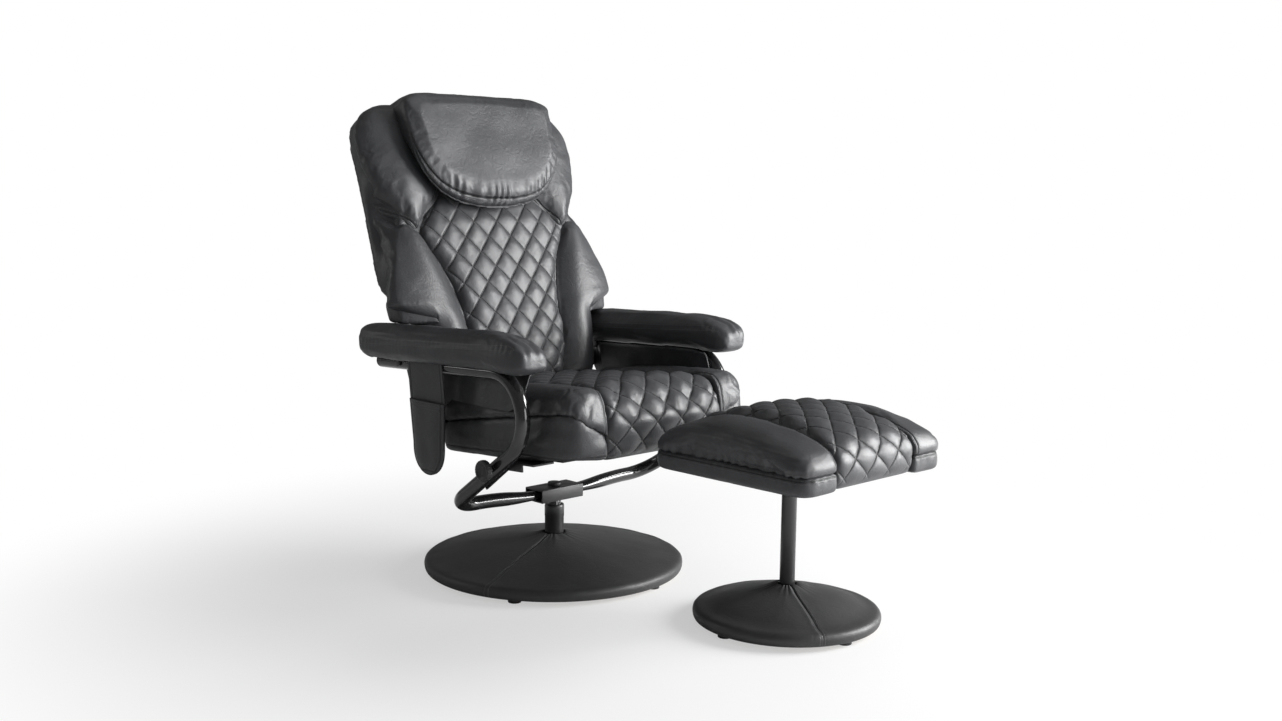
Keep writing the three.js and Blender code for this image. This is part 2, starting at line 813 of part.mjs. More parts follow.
// Side profile of the quilted middle: up the rear, over the top, down the front.
function seatQuiltRing(x) {
  const { frontY, rearY, lipRadius, apronDepth, crown, quiltPitch } = seat;
  const puff = (travel) => quilting(x, travel, quiltPitch, quiltPitch, seat.quiltDepth);
  const across = crown * (1 - (x / seat.quiltHalfWidth) ** 2);
  const ring = [];
  const topLength = rearY - frontY - lipRadius;
  range(0, topLength, 20).forEach((travel) => {
    const y = rearY - travel;
    const rise = shoulder(travel + 4, 26);
    ring.push([y, (seatTopAt(y) - 22) + 22 * rise + (across + puff(travel)) * rise]);
  });
  const topFront = seatTopAt(frontY + lipRadius);
  range(0, 90, 6).slice(1).forEach((angle) => {
    const out = lipRadius + across + puff(topLength + lipRadius * rad(angle));
    ring.push([
      frontY + lipRadius - out * Math.sin(rad(angle)) + across * Math.sin(rad(angle)),
      topFront - lipRadius + out * Math.cos(rad(angle)),
    ]);
  });
  const drop = topFront - lipRadius;
  range(0, drop, 5).slice(1).forEach((travel) => {
    const full = 1 - travel / drop;
    ring.push([
      frontY + 14 * (1 - full) - puff(topLength + lipRadius * rad(90) + travel) * Math.sqrt(full),
      drop - travel,
    ]);
  });
  const inner = frontY + apronDepth - FIT;
  ring.push([inner, 0], [inner, seamAt(inner) + FIT], [rearY, seamAt(rearY) + FIT]);
  return ring.map(([y, z]) => new THREE.Vector3(x, y, z));
}

function seatQuilt() {
  const half = seat.quiltHalfWidth;
  const body = loft(range(-half, half, 18).map(seatQuiltRing));
  const under = seamAt(seat.motorY) - 6;
  return cut(body, disc(motor.radius + FIT, under, seamAt(seat.motorY) + motor.height + 4, 20, 0, seat.motorY));
}

function seatBolster(side) {
  const { halfWidth, frontY, rearY, cornerRadius } = seat;
  const inner = seat.quiltHalfWidth + FIT;
  const length = rearY - frontY;
  const stations = [length, length - 6, length - 16, length - 40, 304, 214, 134, 84, ...bolsterFront.toReversed()];
  const rings = stations.map((ahead) => {
    const y = frontY + ahead;
    const over = Math.max(0, cornerRadius - ahead);
    const outer = halfWidth - cornerRadius + Math.sqrt(Math.max(0, cornerRadius ** 2 - over ** 2));
    const rise = Math.min(shoulder(length - ahead + 6, 26), shoulder(ahead, 36));
    const width = Math.max(8, outer - inner);
    const arch = range(0, 1, 9).map((share) => {
      const x = inner + share * width;
      const low = seamBeside(y, x - inner);
      const high = low + (seatTopAt(y) + 7 - low) * (0.12 + 0.88 * rise);
      const edge = 1 - share;
      const lift = shoulder(edge * width + 1, Math.min(46, width));
      const swell = 5 * Math.sin(Math.PI * share) * rise;
      return [x, low + (high - low) * (0.05 + 0.95 * lift) + swell];
    });
    const section = [...arch, [inner + width, FIT], [inner, FIT]];
    return section.map(([x, z]) => new THREE.Vector3(side * x, y, z));
  });
  const aboveSeam = join(seatLid(), seatTrough(side)).translate(0, 0, FIT);
  return keep(loft(rings), aboveSeam);
}

function seatBoard() {
  const { halfWidth, frontY, rearY, boardInset, boardThickness } = seat;
  const x = halfWidth - boardInset;
  return block(-x, x, frontY + boardInset + 20, rearY - 12, -FIT - boardThickness, -FIT);
}

place(seatFrame, 'seat_box', seatBox(), leather);
place(seatFrame, 'seat_quilt', seatQuilt(), leather);
place(seatFrame, 'seat_board', seatBoard(), wood);
SIDES.forEach((side) => place(seatFrame, `seat_bolster_${sideName(side)}`, seatBolster(side), leather));

const motorUnder = Math.max(seamAt(seat.motorY - motor.radius), seamAt(seat.motorY + motor.radius)) + FIT;
const seatMotor = disc(motor.radius, motorUnder, motorUnder + motor.height, 20, 0, seat.motorY);
place(seatFrame, 'massage_motor_seat', seatMotor, plastic);

function controlBox() {
  const top = -2 * FIT - seat.boardThickness;
  return block(
    -control.length / 2, control.length / 2, -control.width / 2, control.width / 2,
    top - control.height, top,
  );
}
place(seatFrame, 'control_box', controlBox(), plastic);

function powerInlet() {
  const y0 = control.width / 2 + FIT;
  const z = -2 * FIT - seat.boardThickness - control.height / 2;
  const barrel = (radius, from, to) => new THREE.CylinderGeometry(radius, radius, to - from, 16)
    .translate(0, (from + to) / 2, z);
  return cut(
    barrel(control.inletRadius, y0, y0 + control.inletReach),
    barrel(control.inletRadius - 3, y0 + 4, y0 + control.inletReach + 1),
  );
}
place(seatFrame, 'power_inlet', powerInlet(), plastic);

// ---------------------------------------------------------------- seat's slides and hinges

const [boltY, boltZ] = localYZ(seatFrame, ...slideBolt);
const [linkSeatY, linkSeatZ] = localYZ(seatFrame, recline.linkY, recline.linkZ);

// Direction in which reclining carries the seat, as a straight stand-in for its arc.
function slideDirection() {
  const dy = recline.linkY - pivot[0];
  const dz = recline.linkZ - pivot[1];
  const turn = rad(recline.limit);
  const y = dy * Math.cos(turn) + dz * Math.sin(turn) - dy;
  const z = dz * Math.cos(turn) - dy * Math.sin(turn) - dz;
  return new THREE.Vector2(y, z);
}
const slideMove = slideDirection();

function slideBracket(side) {
  const heading = slideMove.angle() + rad(seat.pitch);
  const along2 = new THREE.Vector2(-Math.cos(heading), -Math.sin(heading));
  const across2 = new THREE.Vector2(along2.y, -along2.x);
  const corner = (a, b) => [boltY + along2.x * a + across2.x * b, boltZ + along2.y * a + across2.y * b];
  const bar = outlineShape([corner(-34, -12), corner(74, -12), corner(74, 12), corner(-34, 12)]);
  const slotHalf = recline.slideBoltRadius + 0.6;
  const slot = outlineShape([
    corner(-7, -slotHalf), corner(recline.slideTravel + 7, -slotHalf),
    corner(recline.slideTravel + 7, slotHalf), corner(-7, slotHalf),
  ]);
  const [x0, x1] = [recline.slideX, recline.slideX + recline.plate];
  const web = cut(plateX(bar, side * x0, side * x1), plateX(slot, side * (x0 - 1), side * (x1 + 1)));
  const under = -FIT - recline.plate;
  const tab = block(side * (seat.halfWidth - 40), side * x1, boltY - 96, boltY - 6, under, -FIT);
  const gusset = block(side * x0, side * x1, boltY - 60, boltY - 12, under - 14, under + 1);
  const trimmed = cut(web, block(-300, 300, -400, 100, under + 0.5, 60));
  return join(tab, gusset, trimmed);
}

function seatHinge(side) {
  const [x0, x1] = [recline.plateX - recline.plate - FIT, recline.plateX - FIT];
  const low = linkSeatZ - 14;
  const high = linkSeatZ + 14;
  const rear = seat.rearY + FIT;
  const flange = block(side * 208, side * x1, rear, rear + recline.plate, low, high);
  const ear = block(side * x0, side * x1, rear, linkSeatY + 12, low, high);
  const pin = rodX(recline.pinRadius, side * (x0 + 1), side * (x1 + recline.plate + 3), linkSeatY, linkSeatZ);
  return join(flange, ear, pin);
}

SIDES.forEach((side) => {
  place(seatFrame, `seat_slide_bracket_${sideName(side)}`, slideBracket(side), steel);
  place(seatFrame, `seat_hinge_${sideName(side)}`, seatHinge(side), steel);
});

// ---------------------------------------------------------------- backrest

const wingHalf = (s) => along(wingOutline, s);
const rearHalf = (s) => along(rearOutline, s);
const quiltHalf = (s) => along(quiltOutline, s);

function rearShape(inset) {
  const heights = rearOutline.map(([s]) => Math.min(back.top - inset, Math.max(back.bottom + inset, s)));
  const right = heights.map((s) => [rearHalf(s) - inset, s]);
  const left = right.map(([x, s]) => [-x, s]).reverse();
  return outlineShape([...right, ...left]);
}

const boardFront = back.foamDepth + FIT;
const boardRear = boardFront + back.boardThickness;
const coverRear = boardRear + FIT + back.coverThickness;

place(backFrame, 'back_board', panelY(rearShape(back.boardInset), boardFront, boardRear), wood);
const rearCover = panelY(rearShape(back.coverInset), boardRear + FIT, coverRear);
place(backFrame, 'back_rear_cover', rearCover, leather);

const backMotors = [['lower', 110], ['upper', 300]];

// Height of the headrest's rounded lower edge.
function pillowEdge(x) {
  const end = Math.min(1, Math.abs(x) / headrest.halfWidth);
  return headrest.bottom + headrest.sideRise * (1 - Math.sqrt(1 - end ** 2.6));
}

function backQuilt() {
  const rings = range(back.bottom, back.top, 34).map((s) => {
    const half = quiltHalf(s) - back.seamGap;
    const ends = Math.min(shoulder(s - back.bottom + 3, 30), shoulder(back.top - s + 6, 20));
    const front = range(-half, half, 18).map((x) => {
      const crown = back.quiltCrown * (1 - (x / half) ** 2);
      const bare = 1 - shoulder(s - pillowEdge(x) + 14, 14); // flat under the headrest
      const puff = bare * quilting(x, s, back.quiltPitchX, back.quiltPitchS, back.quiltDepth);
      return [x, 12 - (12 + crown + puff) * ends];
    });
    const rear = [[half, back.foamDepth], [-half, back.foamDepth]];
    return [...front, ...rear].map(([x, y]) => new THREE.Vector3(x, y, s));
  });
  const recesses = backMotors.map(([, s]) => motorAt(motor.radius + FIT, s, back.foamDepth + 1));
  return cut(loft(rings), ...recesses);
}

function motorAt(radius, s, rear) {
  const front = back.foamDepth - motor.height - FIT;
  return new THREE.CylinderGeometry(radius, radius, rear - front, 20).translate(0, (front + rear) / 2, s);
}

place(backFrame, 'back_quilt', backQuilt(), leather);
backMotors.forEach(([name, s]) => {
  const body = motorAt(motor.radius, s, back.foamDepth);
  const seated = cut(body, block(-40, 40, -10, back.foamDepth - motor.height, s - 40, s + 40));
  place(backFrame, `massage_motor_back_${name}`, seated, plastic);
});

// A wing fills the space between the quilted middle and the outline of the back.
function backWing(side, s0, s1, crown, steps) {
  const edgeDepth = 26; // depth of the seam along the outer edge
  const rings = range(s0, s1, steps).map((s) => {
    const rise = back.waistRise * Math.max(0, 1 - Math.abs(s - back.waist) / back.waistReach);
    const inner = quiltHalf(s) + FIT;
    const heightAt = (x) => s + rise * (x - inner);
    const settle = (halfAt) => range(0, 5, 5).reduce((x) => halfAt(heightAt(x)), inner + 60);
    const outer = Math.max(inner + 14, settle(wingHalf));
    const outerRear = Math.max(inner + 14, settle(rearHalf));
    const width = outer - inner;
    const ends = Math.min(shoulder(s - s0 + 4, 32), shoulder(s1 - s + 4, 32));
    const front = range(0, 1, 8).map((share) => {
      const bow = Math.sin(Math.PI * Math.min(1, share * 1.05)) * crown;
      const edge = shoulder((1 - share) * width + 2, Math.min(34, width));
      const near = shoulder(share * width + 6, 16);
      return [inner + share * width, edgeDepth - (edgeDepth * edge * near + bow * edge) * ends];
    });
    const rear = [[outerRear, back.foamDepth], [inner, back.foamDepth]];
    return [...front, ...rear].map(([x, y]) => new THREE.Vector3(side * x, y, heightAt(x)));
  });
  return loft(rings);
}

SIDES.forEach((side) => {
  const hand = sideName(side);
  const lower = backWing(side, back.bottom, back.waist - FIT, back.lowerCrown, 17);
  const upper = backWing(side, back.waist + FIT, back.top, back.upperCrown, 16);
  place(backFrame, `lower_wing_${hand}`, lower, leather);
  place(backFrame, `upper_wing_${hand}`, upper, leather);
});

// Pillow that hangs over the top edge and down the front, with a rounded lower edge.
function headrestPillow() {
  const { halfWidth, top, thickness, endThickness, standOff } = headrest;
  const crest = back.top + FIT;
  const overTop = top - crest;
  const rings = range(-1, 1, 20).map((share) => {
    const x = halfWidth * Math.sin((share * Math.PI) / 2);
    const edge = Math.abs(x) / halfWidth;
    const low = pillowEdge(x);
    const fade = Math.max(0, 1 - edge ** 8) ** 0.5;
    const thick = endThickness + (thickness - endThickness) * fade;
    const over = endThickness + (overTop - endThickness) * fade;
    const front = range(0, 1, 9).map((t) => {
      const s = low + (crest - low) * t;
      const plump = shoulder((s - low) + 2, 46);
      return [-standOff - (4 + (thick - 4) * plump), s];
    });
    const cap = range(15, 90, 4).map((angle) => [
      -standOff - thick * Math.cos(rad(angle)),
      crest + over * Math.sin(rad(angle)),
    ]);
    const rear = [[coverRear - 26, crest + over], [coverRear - 6, crest + over * 0.6],
      [coverRear - 4, crest], [-standOff, crest], [-standOff, (low + crest) / 2]];
    return [...front, ...cap, ...rear].map(([y, s]) => new THREE.Vector3(x, y, s));
  });
  return loft(rings);
}
place(backFrame, 'headrest', headrestPillow(), leather);

// ---------------------------------------------------------------- recline hinge

const [pivotDepth, pivotHeight] = localYZ(backFrame, ...pivot);
const [linkDepth, linkHeight] = localYZ(backFrame, recline.linkY, recline.linkZ);

function hingePlate(side) {
  const [x0, x1] = [recline.plateX, recline.plateX + recline.plate];
  const rear = coverRear + FIT + recline.plate;
  const eye = 14;
  const outline = outlineShape([
    [linkDepth - eye, linkHeight - eye * 0.5], [linkDepth - eye * 0.4, linkHeight - eye],
    [linkDepth + eye * 0.4, linkHeight - eye], [linkDepth + eye, linkHeight - eye * 0.5],
    [linkDepth + eye, linkHeight + 20], [rear, 12], [rear, pivotHeight - 2],
    [pivotDepth + eye * 0.6, pivotHeight + eye * 0.8], [pivotDepth - eye * 0.6, pivotHeight + eye * 0.8],
    [pivotDepth - eye, pivotHeight - eye * 0.4], [linkDepth - eye, linkHeight + 20],
  ]);
  const flange = block(side * 170, side * x1, coverRear + FIT, rear, 14, pivotHeight - 4);
  return cut(
    join(plateX(outline, side * x0, side * x1), flange),
    rodX(recline.pinRadius + FIT, side * (x0 - 2), side * (x1 + 2), pivotDepth, pivotHeight),
    rodX(recline.pinRadius + recline.linkPlay, side * (x0 - 2), side * (x1 + 2), linkDepth, linkHeight),
  );
}

function pivotBolt(side) {
  const inside = recline.plateX - FIT;
  const outside = tube.halfSpan + tube.radius;
  return join(
    rodX(recline.pinRadius, side * (inside - 1), side * (outside + 3), ...pivot),
    rodX(recline.pinRadius + 4, side * (inside - 2.4), side * inside, ...pivot),
    rodX(recline.pinRadius + 3, side * (outside + FIT), side * (outside + 4), ...pivot, 6),
  );
}

SIDES.forEach((side) => {
  place(backFrame, `back_hinge_plate_${sideName(side)}`, hingePlate(side), steel);
  place(chair, `pivot_bolt_${sideName(side)}`, pivotBolt(side), steel);
});

// ---------------------------------------------------------------- tension knob and slide bolt

function slideBoltBody(side) {
  const inside = recline.slideX - FIT;
  const outside = tube.halfSpan + tube.radius + FIT;
  const shank = rodX(recline.slideBoltRadius, side * (inside - 4), side * (outside + 1), ...slideBolt, 12);
  const nut = rodX(recline.slideBoltRadius + 4, side * (inside - 6), side * inside, ...slideBolt, 6);
  return { shank: join(shank, nut), outside };
}

function tensionKnob() {
  const { shank, outside } = slideBoltBody(-1);
  const profile = [
    [0, outside], [knob.neck, outside], [knob.neck, outside + 7], [knob.radius - 2, outside + 9],
    [knob.radius, outside + 12], [knob.radius, outside + knob.reach - 3],
    [knob.radius - 3, outside + knob.reach], [knob.neck, outside + knob.reach - 5],
    [0, outside + knob.reach - 6],
  ];
  const points = profile.map(([r, x]) => new THREE.Vector2(r, x));
  const turned = new THREE.LatheGeometry(points, 24).rotateZ(Math.PI / 2);
  return join(turned.translate(0, ...slideBolt), shank);
}
place(chair, 'tension_knob', tensionKnob(), plastic);

function plainSlideBolt() {
  const { shank, outside } = slideBoltBody(1);
  return join(shank, rodX(recline.slideBoltRadius + 4, outside, outside + 5, ...slideBolt, 6));
}
place(chair, 'slide_bolt_left', plainSlideBolt(), steel);

// ---------------------------------------------------------------- ottoman

roundBase(
  'ottoman_', ottoman.baseRadius, ottoman.hubRadius, ottoman.hubZ, ottoman.sides,
  ottoman.glides, ottoman.glideTurn, [ottoman.postX, ottoman.postY],
);

function ottomanPost() {
  const { postX, postY, postRadius, underZ, plateSize, plateThickness } = ottoman;
  const plateTop = underZ - FIT;
  const half = plateSize / 2;
  return join(
    disc(postRadius, boardTopZ + FIT, plateTop - 1, 20, postX, postY),
    block(postX - half, postX + half, postY - half, postY + half, plateTop - plateThickness, plateTop),
  );
}
place(chair, 'ottoman_post', ottomanPost(), steel);

const stool = new THREE.Group();
stool.position.set(ottoman.x, ottoman.y, 0);
chair.add(stool);

function ottomanBox() {
  const { halfWidth, halfDepth, cornerRadius: r, underZ, seamZ, apronDepth } = ottoman;
  const notch = ottoman.quiltHalfWidth + FIT;
  const inner = halfDepth - apronDepth;
  const shape = new THREE.Shape();
  shape.moveTo(-halfWidth, -halfDepth + r);
  shape.absarc(-halfWidth + r, -halfDepth + r, r, Math.PI, 1.5 * Math.PI);
  [[-notch, -halfDepth], [-notch, -inner], [notch, -inner], [notch, -halfDepth]].forEach((p) => {
    shape.lineTo(...p);
  });
  shape.absarc(halfWidth - r, -halfDepth + r, r, 1.5 * Math.PI, TAU);
  shape.absarc(halfWidth - r, halfDepth - r, r, 0, Math.PI / 2);
  [[notch, halfDepth], [notch, inner], [-notch, inner], [-notch, halfDepth]].forEach((p) => {
    shape.lineTo(...p);
  });
  shape.absarc(-halfWidth + r, halfDepth - r, r, Math.PI / 2, Math.PI);
  return new THREE.ExtrudeGeometry(shape, {
    depth: seamZ - underZ - 12,
    bevelEnabled: true,
    bevelSize: 4,
    bevelThickness: 6,
    bevelOffset: -4,
    bevelSegments: 2,
    curveSegments: 5,
  }).translate(0, 0, underZ + 6);
}

// Height of the arched top at a place, before any quilting.
function ottomanTop(x, y) {
  const { halfWidth, halfDepth, topZ, edgeZ } = ottoman;
  const arch = 1 - (y / halfDepth) ** 2;
  const across = 1 - 0.35 * (x / halfWidth) ** 2;
  return edgeZ + (topZ - edgeZ) * arch * across - 8 * (x / halfWidth) ** 2;
}

function ottomanQuiltRing(x) {
  const { halfDepth, underZ, seamZ, quiltPitch: pitch, apronDepth } = ottoman;
  const puff = (travel) => quilting(x, travel, pitch, pitch, ottoman.quiltDepth);
  const ring = range(-halfDepth, halfDepth, 22).map((y) => {
    const edge = shoulder(halfDepth - Math.abs(y) + 2, 30);
    return [y, seamZ + (ottomanTop(x, y) + puff(y) - seamZ) * (0.15 + 0.85 * edge)];
  });
  const inner = halfDepth - apronDepth - FIT;
  const side = (sign) => [
    [sign * (halfDepth - 1), seamZ - 14], [sign * (halfDepth - 6), underZ],
    [sign * (inner + 2 * FIT), underZ], [sign * (inner + 2 * FIT), seamZ + FIT],
  ];
  return [...ring, ...side(1), ...side(-1).reverse()].map(([y, z]) => new THREE.Vector3(x, y, z));
}

function ottomanQuilt() {
  const half = ottoman.quiltHalfWidth;
  return loft(range(-half, half, 14).map(ottomanQuiltRing));
}

function ottomanBolster(side) {
  const { halfWidth, halfDepth, cornerRadius, seamZ } = ottoman;
  const inner = ottoman.quiltHalfWidth + FIT;
  const low = seamZ + FIT;
  const rings = [0, 0.12, 0.3, 0.5, 0.68, 0.82, 0.92, 0.98, 1].map((share) => {
    const x = inner + share * (halfWidth - inner);
    const reach = planEdge(x, halfWidth, halfDepth, cornerRadius);
    const edge = shoulder(halfWidth - x + 1.5, 34);
    const arch = range(-1, 1, 14).map((t) => {
      const y = reach * Math.sin((t * Math.PI) / 2);
      const ends = shoulder(reach - Math.abs(y) + 2, 30);
      const high = low + (ottomanTop(x, y) + 5 - low) * (0.15 + 0.85 * ends * edge);
      return [y, high];
    });
    const section = [...arch, [reach, low], [-reach, low]];
    return section.map(([y, z]) => new THREE.Vector3(side * x, y, z));
  });
  return loft(rings);
}

place(stool, 'ottoman_box', ottomanBox(), leather);
place(stool, 'ottoman_quilt', ottomanQuilt(), leather);
SIDES.forEach((side) => {
  place(stool, `ottoman_bolster_${sideName(side)}`, ottomanBolster(side), leather);
});

// ---------------------------------------------------------------- whole

const whole = new THREE.Group();
whole.add(chair);
whole.updateMatrixWorld(true);
const bounds = new THREE.Box3();
whole.traverse((node) => {
  if (!node.isMesh) return;
  node.geometry.computeBoundingBox();
  bounds.union(new THREE.Box3().setFromObject(node, true));
});
const footprint = bounds.getCenter(new THREE.Vector3());
chair.position.set(-footprint.x, -footprint.y, -bounds.min.z);

export default whole;
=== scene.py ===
"""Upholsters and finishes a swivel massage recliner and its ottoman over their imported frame."""
import math

import bmesh
import bpy
import numpy as np
from bpy.props import FloatProperty, FloatVectorProperty, IntProperty, PointerProperty
from mathutils import Matrix, Vector, noise


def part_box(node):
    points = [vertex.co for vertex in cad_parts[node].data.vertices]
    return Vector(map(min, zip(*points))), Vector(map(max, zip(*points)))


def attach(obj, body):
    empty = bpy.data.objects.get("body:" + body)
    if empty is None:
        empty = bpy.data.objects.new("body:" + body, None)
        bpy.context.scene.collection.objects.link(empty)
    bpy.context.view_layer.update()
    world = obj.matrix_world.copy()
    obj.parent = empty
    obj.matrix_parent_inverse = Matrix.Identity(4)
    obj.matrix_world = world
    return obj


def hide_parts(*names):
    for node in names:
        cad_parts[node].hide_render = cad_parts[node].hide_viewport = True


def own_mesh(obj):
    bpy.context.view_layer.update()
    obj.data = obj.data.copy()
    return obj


bl_info = {
    "name": "Swivel Recliner with Ottoman",
    "version": (1, 0, 0),
    "blender": (4, 5, 0),
    "location": "3D View > Sidebar > Recliner",
    "description": "Upholsters and finishes a massage recliner and its ottoman",
    "category": "Object",
}

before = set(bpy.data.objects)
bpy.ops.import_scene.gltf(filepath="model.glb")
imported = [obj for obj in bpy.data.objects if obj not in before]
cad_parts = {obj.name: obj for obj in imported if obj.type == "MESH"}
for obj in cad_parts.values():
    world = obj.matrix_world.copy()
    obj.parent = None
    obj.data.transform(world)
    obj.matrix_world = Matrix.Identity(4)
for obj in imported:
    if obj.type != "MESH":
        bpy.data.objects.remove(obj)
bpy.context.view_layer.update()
MM = 0.001

# Sizes and places in mm, from the chair's middle and the floor, unless a line says otherwise.
TUBE_HALF_SPAN = 284  # from the chair's middle to each arm tube's axis
TUBE_RADIUS = 15
TUBE_CROSS_Z = 182
ARM_AXIS_Z = 475
ARM_TILT = 2.4  # degrees, nose up
FIT = 0.3  # clearance between pieces that touch
RIM_TOP_Z = 34  # of both round bases
SEAM_OF_BASE = -160.0  # degrees, direction of the radial seam
SEAM_OF_STOOL = -119.0
BACK_FOOT, BACK_TOP = -30, 629  # up the back's own slope
PILLOW_HALF = 204  # half the head pillow's width
CROWN_ROUNDS = 80  # of smoothing over the lower wings' fronts
NO_SEAM = 99.0  # an offset too far from a seam to mark it


def centre_of(node):
    low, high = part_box(node)
    return (Vector(low) + Vector(high)) / 2


SWIVEL = centre_of("base_cover")
STOOL = centre_of("ottoman_base_cover")
STOOL_TOP = centre_of("ottoman_box")


def tilted(y, z, degrees):
    """Place of a tilted group, whose own axes are level with its cushions."""
    move = Matrix.Translation((SWIVEL.x, SWIVEL.y + y * MM, z * MM))
    return move @ Matrix.Rotation(-math.radians(degrees), 4, "X")


SEAT = tilted(0, 293, 3.6)
BACK = tilted(90, 430, 22)
ARM = tilted(0, ARM_AXIS_Z, ARM_TILT)
UPRIGHT = Matrix.Translation((SWIVEL.x, SWIVEL.y, 0))
OTTOMAN = Matrix.Translation((STOOL_TOP.x, STOOL_TOP.y, 0))
SIDES = (("left", 1), ("right", -1))

# Half widths of the back at heights up its slope, as (height, half width) in mm.
QUILT_EDGE = (
    (-30, 86), (30, 118), (80, 134), (160, 139), (205, 148), (264, 170), (322, 202),
    (344, 200), (378, 170), (410, 139), (440, 122), (520, 112), (629, 110),
)
WING_EDGE = (
    (-30, 176), (30, 209), (85, 229), (150, 233), (186, 262), (214, 290), (280, 286),
    (331, 260), (384, 240), (400, 250), (440, 274), (491, 284), (560, 284), (590, 274),
    (612, 256), (629, 228),
)
REAR_EDGE = (
    (-30, 176), (30, 209), (85, 229), (150, 233), (186, 234), (204, 266), (222, 286),
    (262, 290), (364, 286), (461, 281), (560, 280), (590, 272), (612, 255), (629, 226),
)


# ---------------------------------------------------------------- settings


class RECLINER_PG_quilting(bpy.types.PropertyGroup):
    """Diamond quilting of the seat, back and ottoman."""

    seat_pitch: FloatProperty(
        name="Seat Pitch", description="Spacing of the seat's diamonds",
        default=0.070, subtype="DISTANCE", unit="LENGTH",
    )
    back_across: FloatProperty(
        name="Back Across", description="Width of the back's diamonds",
        default=0.063, subtype="DISTANCE", unit="LENGTH",
    )
    back_up: FloatProperty(
        name="Back Up", description="Height of the back's diamonds",
        default=0.070, subtype="DISTANCE", unit="LENGTH",
    )
    ottoman_pitch: FloatProperty(
        name="Ottoman Pitch", description="Spacing of the ottoman's diamonds",
        default=0.066, subtype="DISTANCE", unit="LENGTH",
    )
    puff: FloatProperty(
        name="Puff", description="Rise of each diamond's middle over its stitching",
        default=0.0050, subtype="DISTANCE", unit="LENGTH",
    )


class RECLINER_PG_stuffing(bpy.types.PropertyGroup):
    """How the cushions are filled."""

    voxel: FloatProperty(
        name="Cell", description="Size of the cloth's cells while it is filled",
        default=0.006, subtype="DISTANCE", unit="LENGTH",
    )
    pressure: FloatProperty(
        name="Pressure", description="Pressure inside the cushions", default=4.0, min=0.0,
    )
    frames: IntProperty(
        name="Frames", description="Steps over which the cushions fill", default=16, min=2,
    )
    smoothing: IntProperty(
        name="Smoothing", description="Rounds of smoothing before filling", default=9, min=0,
    )


class RECLINER_PG_finish(bpy.types.PropertyGroup):
    """Colours of the finishes."""

    leather: FloatVectorProperty(
        name="Leather", description="Colour of the cushions", subtype="COLOR",
        size=3, default=(0.050, 0.051, 0.055), min=0.0, max=1.0,
    )
    wrap: FloatVectorProperty(
        name="Base Wrap", description="Colour of the wrapped bases", subtype="COLOR",
        size=3, default=(0.036, 0.036, 0.037), min=0.0, max=1.0,
    )
    thread: FloatVectorProperty(
        name="Thread", description="Colour of the stitching", subtype="COLOR",
        size=3, default=(0.095, 0.096, 0.10), min=0.0, max=1.0,
    )
    steel: FloatVectorProperty(
        name="Black Steel", description="Colour of the painted steel", subtype="COLOR",
        size=3, default=(0.016, 0.016, 0.017), min=0.0, max=1.0,
    )
    plastic: FloatVectorProperty(
        name="Plastic", description="Colour of the moulded parts", subtype="COLOR",
        size=3, default=(0.028, 0.028, 0.030), min=0.0, max=1.0,
    )
    plywood: FloatVectorProperty(
        name="Plywood", description="Colour of the hidden boards", subtype="COLOR",
        size=3, default=(0.42, 0.30, 0.16), min=0.0, max=1.0,
    )


SETTINGS = (
    ("recliner_quilting", RECLINER_PG_quilting),
    ("recliner_stuffing", RECLINER_PG_stuffing),
    ("recliner_finish", RECLINER_PG_finish),
)


# ---------------------------------------------------------------- materials


class Wire:
    """A shader value that answers to Python's arithmetic."""

    def __init__(self, recipe, socket):
        self.recipe = recipe
        self.socket = socket

    def _math(self, operation, *values):
        inputs = dict(enumerate(values))
        return self.recipe.node("ShaderNodeMath", {"operation": operation}, inputs)

    def __add__(self, other):
        return self._math("ADD", self, other)

    def __sub__(self, other):
        return self._math("SUBTRACT", self, other)

    def __rsub__(self, other):
        return self._math("SUBTRACT", other, self)

    def __mul__(self, other):
        return self._math("MULTIPLY", self, other)

    def __abs__(self):
        return self._math("ABSOLUTE", self)

    def part(self):
        return self._math("FRACT", self)

    def least(self, other):
        return self._math("MINIMUM", self, other)

    def most(self, other):
        return self._math("MAXIMUM", self, other)

    def rise(self, low, high):
        """0 below low and 1 above high, eased between them; low may be the larger."""
        settings = {"interpolation_type": "SMOOTHSTEP"}
        inputs = {"Value": self, "From Min": low, "From Max": high}
        return self.recipe.node("ShaderNodeMapRange", settings, inputs)


